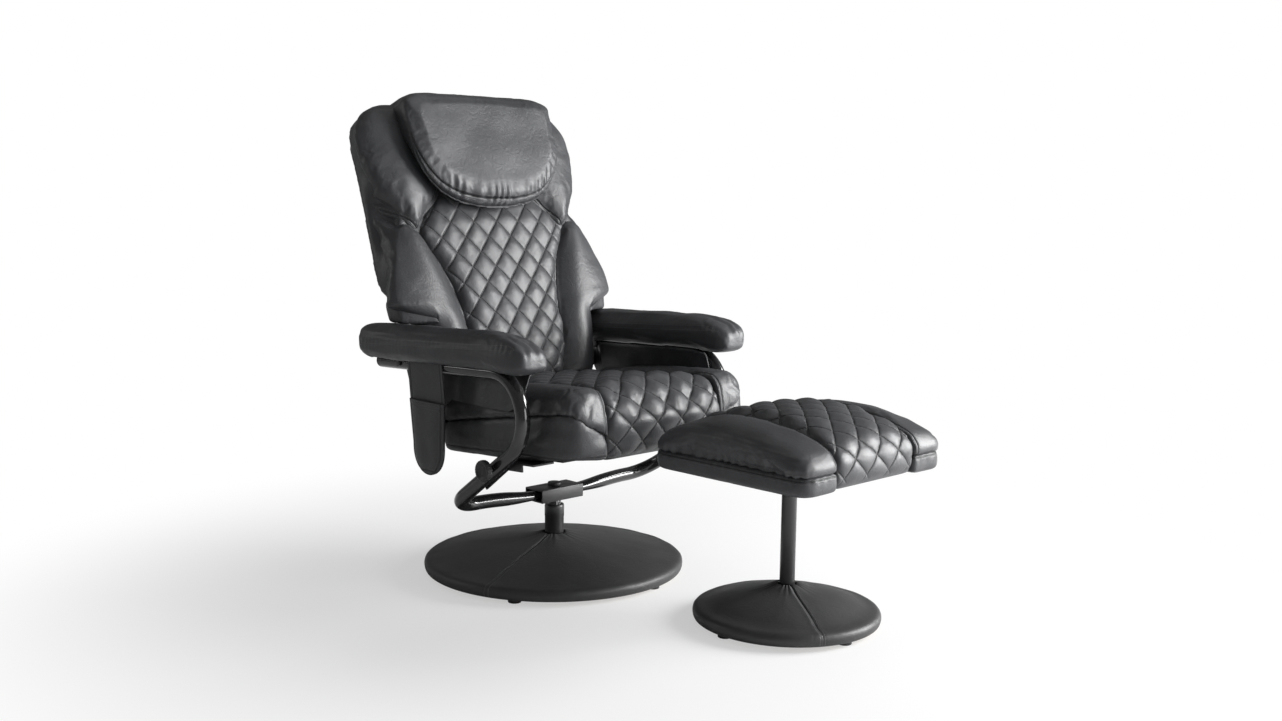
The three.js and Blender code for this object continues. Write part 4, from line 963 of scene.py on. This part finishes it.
class RECLINER_OT_pocket(bpy.types.Operator):
    """Side pocket that hangs from the right arm"""

    bl_idname = "recliner.pocket"
    bl_label = "Side Pocket"
    bl_options = {"REGISTER", "UNDO"}

    def execute(self, context):
        near = -(TUBE_HALF_SPAN + TUBE_RADIUS + FIT)
        top, mouth, bottom, narrows_from = 483.0, 400.0, 247.0, 310

        def edges(z):
            """Front and rear edge of the pocket's outline at a height."""
            rise = min(1.0, max(0.0, (z - bottom) / 62))
            round_off = 1 - math.sqrt(max(0.0, 1 - (1 - rise) ** 2.4))
            lean = 11 * max(0.0, (z - mouth) / (top - mouth))
            low_front, low_rear = -5.0, 99.0
            share = min(1.0, max(0.0, (z - narrows_from) / (mouth - narrows_from)))
            front = low_front + (-7 - low_front) * share + lean
            rear = low_rear + (112 - low_rear) * share + lean
            middle = (front + rear) / 2
            return front + (middle - front) * round_off, rear + (middle - rear) * round_off

        def panel(bm, z_low, z_high, offset, bulge, rows):
            made = bmesh.ops.create_grid(bm, x_segments=30, y_segments=rows, size=0.5)["verts"]
            for vert in made:
                u, w = vert.co.x + 0.5, vert.co.y + 0.5
                eased = w ** 1.6 if z_low == bottom else w
                z = z_low + (z_high - z_low) * eased
                front, rear = edges(z)
                y = front + (rear - front) * u
                swell = (1 - (2 * u - 1) ** 4) * min(1.0, (z - bottom) / 26)
                ripple = noise.noise(Vector((u * 3.1, w * 5.3, offset))) * 1.1
                x = near + offset - (bulge * swell + ripple * swell)
                vert.co = Vector((SWIVEL.x + x * MM, SWIVEL.y + y * MM, z * MM))

        bm = bmesh.new()
        panel(bm, bottom, top, -1.6, 0.0, 60)
        panel(bm, bottom, mouth, -3.9, 5.4, 44)
        piece = new_piece("side_pocket_bag", bm)
        thick = piece.modifiers.new("thickness", "SOLIDIFY")
        thick.thickness = 2.0 * MM
        thick.offset = 0
        bake(piece)

        def shape(places, facing):
            z, y = places[:, 2], places[:, 1]
            front, rear = np.array([edges(v) for v in z]).T
            hem = np.where(z < mouth - 2, mouth - 9 - z, NO_SEAM)
            foot = np.where(z < 300, z - bottom - 9, NO_SEAM)
            rim = np.minimum(y - front, rear - y) - 7
            offset, marks = seams((rim, z), (hem, y), (foot, y))
            return -0.4 * np.exp(-((offset / 2.5) ** 2)), marks
        carve(piece, UPRIGHT, shape)
        dress(piece, "seamed leather", "carriage", "side_pocket", sharp=60)
        return {"FINISHED"}


class RECLINER_OT_seat(bpy.types.Operator):
    """Seat cushion: quilted middle, bolsters and box"""

    bl_idname = "recliner.seat"
    bl_label = "Seat"
    bl_options = {"REGISTER", "UNDO"}

    def execute(self, context):
        quilt = cushion("seat_middle", "seat_quilt", rounds=14)
        box = cushion("seat_sides", "seat_box", rounds=6, grow=1.0)
        rolls = []
        for hand, side in SIDES:
            piece = cushion(f"seat_roll_{hand}", f"seat_bolster_{hand}", voxel=0.005, rounds=6)
            rolls.append((hand, side, piece))
        up = SEAT.to_3x3() @ Vector((0, 0, 1))
        front = SEAT.to_3x3() @ Vector((0, -1, 0))
        jobs = [(quilt, 6.0, [up, front]), (box, 2.0, [front, (1, 0, 0), (-1, 0, 0)])]
        jobs += [(piece, 9.0, [up, front]) for _, _, piece in rolls]
        fill(jobs)
        for piece, *_ in jobs:
            refine(piece)
        carve(quilt, SEAT, seat_quilting)
        dress(quilt, "quilted leather", "seat", "seat_quilt")
        settle(box, SEAT, tucked)
        carve(box, SEAT, seat_box_folds)
        dress(box, "seamed leather", "seat", "seat_box")
        for hand, side, piece in rolls:
            carve(piece, SEAT, seat_roll_shape(side))
            dress(piece, "seamed leather", "seat", f"seat_bolster_{hand}")
        return {"FINISHED"}


def seat_quilting(places, facing):
    quilting = bpy.context.scene.recliner_quilting
    pitch = quilting.seat_pitch / MM
    x, y, z = places.T
    rear_y, front_y, lip, top_front = 62, -348, 56, 133
    top_length = rear_y - front_y - lip
    centre_y, centre_z = front_y + lip, top_front + 2 - lip
    angle = np.arctan2(centre_y - y, np.maximum(z - centre_z, 1e-3))
    travel = np.where(y > centre_y, rear_y - y, top_length + lip * angle)
    travel = np.where(z < centre_z, top_length + lip * math.pi / 2 + centre_z - z, travel)
    half_width = 161
    shown = ease(half_width - np.abs(x), 1.5, 11)
    shown = shown * ease(np.maximum(facing[:, 2], -facing[:, 1]), -0.1, 0.35)
    shown = shown * ease(z, 4, 26)
    lift, marks = diamonds(x, travel, pitch, pitch, quilting.puff / MM * 0.9, shown)
    return lift + rumple(places, 60, 1) * 1.2 * shown, marks


def tucked(places):
    """Lifts the box's lower edge towards its front corners."""
    x, y, z = places.T
    lift = 12 * ease(-y, 150, 335) * ease(np.abs(x), 110, 245) * ease(70 - z, 0, 70)
    return np.column_stack((x, y, z + lift))


def seat_box_folds(places, facing):
    _, y, z = places.T
    offset, marks = seams((np.where(z < 30, z - 13, NO_SEAM), y))
    flank = ease(np.abs(facing[:, 0]) + np.abs(facing[:, 1]), 0.4, 0.9)
    slack = rumple(places * (0.6, 0.6, 1.0), 34, 8)
    corner = ease(-y, 250, 340)
    lift = slack * (1.4 + 2.6 * corner) - 0.8 * np.exp(-((offset / 3) ** 2))
    marks["seam_near"] = marks["seam_near"] * flank
    return lift * flank, marks


def seat_roll_shape(side):
    def shape(places, facing):
        x, y, _ = places.T
        offset, marks = seams((x * side - 168, y))
        ahead = ease(-y, 210, 340)
        wrinkles = np.sin((y * 0.9 + x * side * 0.5) / 4.0 + rumple(places, 26, 6) * 5)
        shown = ease(facing[:, 2], -0.2, 0.5)
        lift = -1.2 * np.exp(-((offset / 3.0) ** 2)) * shown
        lift += wrinkles * 0.8 * ahead * ease(x * side, 176, 200)
        lift += rumple(places, 42, 7) * 1.8
        puckers = np.sin(y / 3.1 + np.sin(y / 23) * 2) * np.exp(-np.maximum(offset, 0) / 9)
        return lift + puckers * 0.6 * shown, marks
    return shape


class RECLINER_OT_back(bpy.types.Operator):
    """Backrest: quilted middle, four wings, their feet and the rear shell"""

    bl_idname = "recliner.back"
    bl_label = "Back"
    bl_options = {"REGISTER", "UNDO"}

    def execute(self, context):
        front = BACK.to_3x3() @ Vector((0, -1, 0))
        quilt = cushion("back_middle", "back_quilt", rounds=10, grow=3.0)
        jobs = [(quilt, 4.0, [front])]
        wings = []
        for level in ("lower", "upper"):
            for hand, side in SIDES:
                node = f"{level}_wing_{hand}"
                piece = cushion(node + "_pad", node, voxel=0.005, rounds=5, grow=4.0)
                wings.append((level, side, node, piece))
                jobs.append((piece, 8.0, [front, (side, 0, 0)]))
        fill(jobs)
        for piece, *_ in jobs:
            refine(piece)
        carve(quilt, BACK, back_quilting)
        dress(quilt, "quilted leather", "back", "back_quilt")
        for level, side, node, piece in wings:
            if level == "lower":
                settle(piece, BACK, pillowed)
                relax(piece, CROWN_ROUNDS, crown(piece))
            carve(piece, BACK, wing_shape(level, side))
            dress(piece, "seamed leather", "back", node)
        rear_shell()
        for hand, side in SIDES:
            wing_foot(hand, side)
        return {"FINISHED"}


def back_quilting(places, facing):
    quilting = bpy.context.scene.recliner_quilting
    x, _, z = places.T
    half = along(QUILT_EDGE, z)
    shown = ease(half - np.abs(x), 1.5, 10) * ease(-facing[:, 1], 0.1, 0.5)
    lift, marks = diamonds(
        x, z, quilting.back_across / MM, quilting.back_up / MM, quilting.puff / MM * 0.6, shown,
    )
    return lift + rumple(places, 80, 2) * 1.0 * shown, marks


def pillowed(places):
    """Lets a lower wing rise slowly from its seam with the middle, and widens its foot."""
    x, y, z = places.T
    inner = np.abs(x) - along(QUILT_EDGE, z)
    sunk = 7 * (1 - ease(inner, 2, 50)) * ease(-y, -12, 10) + 0.35 * np.maximum(-y - 4, 0)
    wider = 22 * (1 - ease(z, -30, 90)) * ease(inner, 5, 60) * np.sign(x)
    return np.column_stack((x + wider, y + sunk, z))


def crown(piece):
    """Tells which vertices lie on a wing's swollen front, clear of its seam and its rim."""
    x, y, z = local_mm(coordinates(piece.data), BACK).T
    inner = np.abs(x) - along(QUILT_EDGE, z)
    outer = along(WING_EDGE, z) - np.abs(x)
    return (np.minimum(inner, outer) > 12) & (y < 0)


def wing_shape(level, side):
    def shape(places, facing):
        x, z = places[:, 0] * side, places[:, 2]
        inner = x - along(QUILT_EDGE, z)
        waist = z - (332 + 0.85 * (x - 204))
        if level == "upper":
            offset, marks = seams((inner - 7, z), (waist - 9, x))
        else:
            offset, marks = seams((inner + 20, z))
        shown = ease(-facing[:, 1], 0.0, 0.5)
        lift = -1.0 * np.exp(-((offset / 3.0) ** 2)) * shown
        puckers = np.sin(z / 3.4 + np.sin(z / 19) * 2) * np.exp(-np.maximum(inner, 0) / 10)
        lift += puckers * 0.5 * shown
        drape = rumple(places * (0.45, 1.0, 0.6), 60, 9 if level == "upper" else 11)
        lift += drape * (2.0 if level == "upper" else 1.2)
        rim = ease(inner, 60, 110)
        lift += np.sin(z / 11.0 + rumple(places, 50, 12) * 4) * 0.5 * rim
        marks["seam_near"] = marks["seam_near"] * shown
        return lift, marks
    return shape


def rear_shell():
    """Leather shell over the back board, with its perimeter seam."""
    bm = bmesh.new()
    heights = np.linspace(BACK_FOOT + 2, BACK_TOP - 2, 72)
    sections = ((WING_EDGE, -2, 4), (WING_EDGE, 1, 18), (REAR_EDGE, 3, 52), (REAR_EDGE, 3, 69))
    rings = []
    for edge, grow, depth in sections:
        half = along(edge, heights) + grow
        right = [bm.verts.new((x * MM, depth * MM, s * MM)) for x, s in zip(half, heights)]
        left = [bm.verts.new((-x * MM, depth * MM, s * MM)) for x, s in zip(half, heights)]
        rings.append(right + left[::-1])
    for near, far in zip(rings, rings[1:]):
        for i in range(len(near)):
            bm.faces.new((near[i - 1], near[i], far[i], far[i - 1]))
    bm.faces.new(rings[0])
    bm.faces.new(rings[-1])
    bmesh.ops.recalc_face_normals(bm, faces=bm.faces)
    bmesh.ops.transform(bm, matrix=BACK, verts=bm.verts)
    piece = new_piece("back_shell", bm)
    voxels(piece, 0.0045)
    relax(piece, 3)
    refine(piece)

    def shape(places, facing):
        x, _, z = places.T
        edge = along(REAR_EDGE, z) - np.abs(x)
        inset = np.minimum(edge, np.minimum(z - BACK_FOOT, BACK_TOP - z))
        rear = ease(facing[:, 1], 0.2, 0.7)
        offset, marks = seams((inset - 20, z), (np.where(inset > 20, z - 300, NO_SEAM), x))
        marks["seam_near"] = marks["seam_near"] * rear
        lift = -0.9 * np.exp(-((offset / 3.0) ** 2)) * rear
        lift += rumple(places * (1, 1, 0.6), 60, 14) * 1.6 * rear
        lift += rumple(places, 30, 15) * 1.2 * (1 - rear) * ease(-facing[:, 1], -0.5, -0.2)
        return lift, marks
    carve(piece, BACK, shape)
    dress(piece, "seamed leather", "back", "back_rear_cover", "back_board")


def wing_foot(hand, side):
    """Soft foot of the back's flare, resting on the arm."""
    foot, rear, slope, rear_x = 128, 65, 0.404, 288  # the slope keeps the underside level
    bm = bmesh.new()
    for x, s, front in ((214, 225, -8), (214, foot, -16), (292, foot, 16), (302, 195, 8)):
        for y in (front, 40, rear):
            out = min(x, rear_x) if y == rear else x
            low = slope * y if s == foot else 0
            bm.verts.new((side * out * MM, y * MM, (s + low) * MM))
    bmesh.ops.convex_hull(bm, input=bm.verts)
    bmesh.ops.recalc_face_normals(bm, faces=bm.faces)
    bmesh.ops.transform(bm, matrix=BACK, verts=bm.verts)
    piece = new_piece(f"wing_foot_{hand}", bm)
    voxels(piece, 0.004)
    relax(piece, 8)
    refine(piece)
    carve(piece, BACK, lambda places, facing: (rumple(places, 34, 16) * 2.0, {}))
    dress(piece, "plain leather", "back")
    anchor = BACK @ Vector((side * 0.257, 0.038, 0.228))
    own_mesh(piece)


def plump_ends(places):
    """Brings the pillow's thin ends forward and rounds its upper corners."""
    x, y, z = places.T
    ends = np.clip(np.abs(x) / PILLOW_HALF, 0, 1)
    forward = (6 + 24 * ends ** 7) * ease(-y, 14, 20)
    drop = 3 + 8 * ends ** 2 * ease(z, 520, 650)
    drop = drop + 12 * ease(np.abs(x), 160, 206) * ease(z, 580, 650)
    return np.column_stack((x, y - forward, z - drop))


class RECLINER_OT_headrest(bpy.types.Operator):
    """Pillow over the back's top edge"""

    bl_idname = "recliner.headrest"
    bl_label = "Headrest"
    bl_options = {"REGISTER", "UNDO"}

    def execute(self, context):
        piece = cushion(
            "head_pillow", "headrest", voxel=0.0045, rounds=9, grow=2.0,
            shape=(BACK, plump_ends),
        )
        front = BACK.to_3x3() @ Vector((0, -1, 0))
        up = BACK.to_3x3() @ Vector((0, 0, 1))
        fill([(piece, 5.0, [front, up])])
        refine(piece)

        def shape(places, facing):
            x, _, z = places.T
            edge = np.clip(np.abs(x) / PILLOW_HALF, 0, 1)
            low = 374 + 150 * (1 - np.sqrt(np.maximum(0, 1 - edge ** 2.6)))
            above = z - low
            shown = ease(-facing[:, 1], 0.0, 0.4)
            offset, marks = seams((above - 15, x), (above - 3, x))
            depth = 0.5 + np.abs(rumple(places * (1, 0, 0), 24, 21))
            gathers = np.sin(x / 3.6 + np.sin(x / 21) * 2.6) * depth
            reach = np.exp(-((above - 24) / 17) ** 2)
            side_gathers = np.sin(z / 4.4 + np.sin(z / 23) * 2)
            side_gathers = side_gathers * np.exp(-(PILLOW_HALF - np.abs(x)) / 13)
            lift = -2.4 * np.exp(-((offset / 3.2) ** 2)) * shown
            lift += gathers * reach * 1.9 * shown * ease(180 - np.abs(x), 0, 60)
            lift += side_gathers * 0.4 * shown
            lift += rumple(places, 70, 22) * 2.0
            marks["seam_near"] = marks["seam_near"] * shown
            return lift, marks
        carve(piece, BACK, shape)
        dress(piece, "seamed leather", "back", "headrest")
        return {"FINISHED"}


class RECLINER_OT_ottoman(bpy.types.Operator):
    """Ottoman: round base, post and cushion"""

    bl_idname = "recliner.ottoman"
    bl_label = "Ottoman"
    bl_options = {"REGISTER", "UNDO"}

    def execute(self, context):
        wrapped_base(
            "ottoman_wrap", "ottoman_base_cover", "ottoman", radius=185, hub_radius=17, hub_z=80,
            centre=STOOL, seam_angle=SEAM_OF_STOOL,
        )
        machined("ottoman_base_board", "plywood", "ottoman")
        for i in range(1, 5):
            machined(f"ottoman_glide_{i}", "plastic", "ottoman", 1.5)
        machined("ottoman_post", "satin steel", "ottoman", 0.8)
        quilt = cushion("ottoman_middle", "ottoman_quilt", rounds=12)
        box = cushion("ottoman_sides", "ottoman_box", voxel=0.005, rounds=6)
        rolls = []
        for hand, side in SIDES:
            node = f"ottoman_bolster_{hand}"
            piece = cushion(f"ottoman_roll_{hand}", node, voxel=0.005, rounds=6)
            rolls.append((hand, side, piece))
        ends = [(0, 0, 1), (0, -1, 0), (0, 1, 0)]
        jobs = [(quilt, 4.0, ends), (box, 3.0, [(1, 0, 0), (-1, 0, 0), (0, 1, 0), (0, -1, 0)])]
        jobs += [(piece, 9.0, ends + [(s, 0, 0)]) for _, s, piece in rolls]
        fill(jobs)
        for piece, *_ in jobs:
            refine(piece)
        carve(quilt, OTTOMAN, ottoman_quilting)
        dress(quilt, "quilted leather", "ottoman", "ottoman_quilt")
        carve(box, OTTOMAN, ottoman_box_folds)
        dress(box, "seamed leather", "ottoman", "ottoman_box")
        for hand, side, piece in rolls:
            carve(piece, OTTOMAN, ottoman_roll_shape(side))
            dress(piece, "seamed leather", "ottoman", f"ottoman_bolster_{hand}")
        return {"FINISHED"}


def ottoman_quilting(places, facing):
    quilting = bpy.context.scene.recliner_quilting
    pitch = quilting.ottoman_pitch / MM
    x, y, z = places.T
    half_width, half_depth, brow_z = 119, 180, 384
    drop = np.where(np.abs(y) > 140, np.maximum(0, brow_z - z), 0)
    travel = np.sign(y) * (np.minimum(np.abs(y), half_depth) + drop)
    shown = ease(half_width - np.abs(x), 1.5, 10) * ease(facing[:, 2] + np.abs(facing[:, 1]), 0.0, 0.4)
    shown = shown * ease(z, 318, 340)
    lift, marks = diamonds(x, travel, pitch, pitch, quilting.puff / MM * 0.75, shown)
    return lift + rumple(places, 60, 31) * 1.0 * shown, marks


def ottoman_box_folds(places, facing):
    x, y, z = places.T
    flank = ease(np.hypot(facing[:, 0], facing[:, 1]), 0.4, 0.9)
    offset, marks = seams((z - 342.5, x + y))
    gathers = np.sin((x + y) / 4.0 + np.sin((x - y) / 25) * 2) * np.exp(-offset / 6)
    lift = gathers * 0.9 + rumple(places, 38, 32) * 1.4
    marks["seam_near"] = marks["seam_near"] * flank
    return lift * flank, marks


def ottoman_roll_shape(side):
    def shape(places, facing):
        x, y, z = places[:, 0] * side, places[:, 1], places[:, 2]
        offset, marks = seams((x - 126, y))
        shown = ease(facing[:, 2], -0.3, 0.4)
        hem = np.maximum(z - 347, 0)
        gathers = np.sin(y / 3.8 + np.sin(y / 27) * 2.5) * np.exp(-hem / 10) * ease(x, 170, 200)
        lift = -1.0 * np.exp(-((offset / 3.0) ** 2)) * shown + gathers * 1.5
        long_folds = np.sin(z / 3.6 + rumple(places * (1, 0.15, 1), 20, 34) * 5)
        lift += long_folds * 0.6 * ease(x, 176, 205) + rumple(places, 50, 33) * 1.8
        return lift, marks
    return shape


class RECLINER_OT_stage(bpy.types.Operator):
    """Floor, light and camera"""

    bl_idname = "recliner.stage"
    bl_label = "Stage"
    bl_options = {"REGISTER", "UNDO"}

    def execute(self, context):
        context.scene.view_settings.view_transform = "Standard"
        floor()
        sky(context.scene)
        for name, place, aim, size, power in LAMPS:
            lamp(name, place, aim, size, power)
        camera(context.scene)
        return {"FINISHED"}


LAMPS = (
    ("key softbox", (2.6, -2.2, 1.45), (0.0, 0.1, 0.6), (2.0, 2.1), 265),
    ("front fill", (0.4, -3.6, 0.9), (0.0, 0.0, 0.6), (1.6, 1.4), 26),
    ("overhead", (0.2, 0.3, 3.4), (0.0, 0.0, 0.4), (2.4, 2.4), 8),
    ("rear rim", (-2.2, 2.6, 1.6), (0.0, 0.0, 0.6), (0.5, 1.8), 8),
)


FLOOR_HALF = 30  # metres
SKY_STRENGTH = 0.17


def floor():
    bm = bmesh.new()
    bmesh.ops.create_grid(bm, x_segments=1, y_segments=1, size=FLOOR_HALF)
    ground = new_piece("floor", bm)
    recipe = Recipe(bpy.data.materials.new("white floor"))
    seen = recipe.node("ShaderNodeLightPath", None, None, "Is Camera Ray")
    away = recipe.node("ShaderNodeVectorMath", {"operation": "LENGTH"},
                       {0: recipe.place()}, "Value")
    white = recipe.node("ShaderNodeEmission", None, {"Color": (1.0, 1.0, 1.0), "Strength": 1.0})
    plain = recipe.node("ShaderNodeBsdfDiffuse", None, {"Color": (0.86, 0.86, 0.86)})
    share = (away.rise(0.55, 1.5) * 0.5 + 0.5) * seen
    mixed = recipe.node("ShaderNodeMixShader", None, {0: share, 1: plain, 2: white})
    recipe.node("ShaderNodeOutputMaterial", None, {"Surface": mixed})
    ground.data.materials.append(recipe.owner)


def sky(scene):
    scene.world = bpy.data.worlds.new("studio")
    recipe = Recipe(scene.world)
    white = (1.0, 1.0, 1.0)
    light = recipe.node("ShaderNodeBackground", None, {"Color": white, "Strength": SKY_STRENGTH})
    shown = recipe.node("ShaderNodeBackground", None, {"Color": white, "Strength": 1.0})
    seen = recipe.node("ShaderNodeLightPath", None, None, "Is Camera Ray")
    mixed = recipe.node("ShaderNodeMixShader", None, {0: seen, 1: light, 2: shown})
    recipe.node("ShaderNodeOutputWorld", None, {"Surface": mixed})


def lamp(name, place, aim, size, power):
    data = bpy.data.lights.new(name, "AREA")
    data.shape = "RECTANGLE"
    data.size, data.size_y = size
    data.energy = power
    made = bpy.data.objects.new(name, data)
    made.location = Vector(place)
    made.rotation_euler = (Vector(aim) - Vector(place)).to_track_quat("-Z", "Y").to_euler()
    bpy.context.scene.collection.objects.link(made)


def camera(scene):
    data = bpy.data.cameras.new("camera")
    data.sensor_width = 36.0
    data.lens = 39.127
    made = bpy.data.objects.new("camera", data)
    azimuth, pitch, roll = (math.radians(v) for v in (-44.59, 7.56, 0.80))
    back = Vector((
        math.sin(azimuth) * math.cos(pitch), -math.cos(azimuth) * math.cos(pitch), math.sin(pitch),
    ))
    right = (-back).cross(Vector((0, 0, 1))).normalized()
    up = right.cross(-back)
    side = right * math.cos(roll) + up * math.sin(roll)
    top = up * math.cos(roll) - right * math.sin(roll)
    turn = Matrix((side, top, back)).transposed().to_4x4()
    place = Vector((-1.97691 + SWIVEL.x, -2.27123 + SWIVEL.y, 0.86646))
    made.matrix_world = Matrix.Translation(place) @ turn
    scene.collection.objects.link(made)
    scene.camera = made


class RECLINER_PT_panel(bpy.types.Panel):
    """Settings and pieces of the recliner"""

    bl_label = "Recliner"
    bl_idname = "RECLINER_PT_panel"
    bl_space_type = "VIEW_3D"
    bl_region_type = "UI"
    bl_category = "Recliner"

    def draw(self, context):
        layout = self.layout
        for name, group in SETTINGS:
            box = layout.box()
            for prop in group.__annotations__:
                box.prop(getattr(context.scene, name), prop)
        for operator in OPERATORS:
            layout.operator(operator.bl_idname)


OPERATORS = (
    RECLINER_OT_stage, RECLINER_OT_base, RECLINER_OT_frame, RECLINER_OT_knob,
    RECLINER_OT_mechanism, RECLINER_OT_arms, RECLINER_OT_pocket, RECLINER_OT_seat,
    RECLINER_OT_back, RECLINER_OT_headrest, RECLINER_OT_ottoman,
)
CLASSES = tuple(group for _, group in SETTINGS) + OPERATORS + (RECLINER_PT_panel,)


def register():
    for cls in CLASSES:
        bpy.utils.register_class(cls)
    for name, group in SETTINGS:
        setattr(bpy.types.Scene, name, PointerProperty(type=group))


def unregister():
    for name, _ in SETTINGS:
        delattr(bpy.types.Scene, name)
    for cls in reversed(CLASSES):
        bpy.utils.unregister_class(cls)


def main():
    register()
    for operator in OPERATORS:
        group, name = operator.bl_idname.split(".")
        getattr(getattr(bpy.ops, group), name)()


if __name__ == "__main__":
    main()
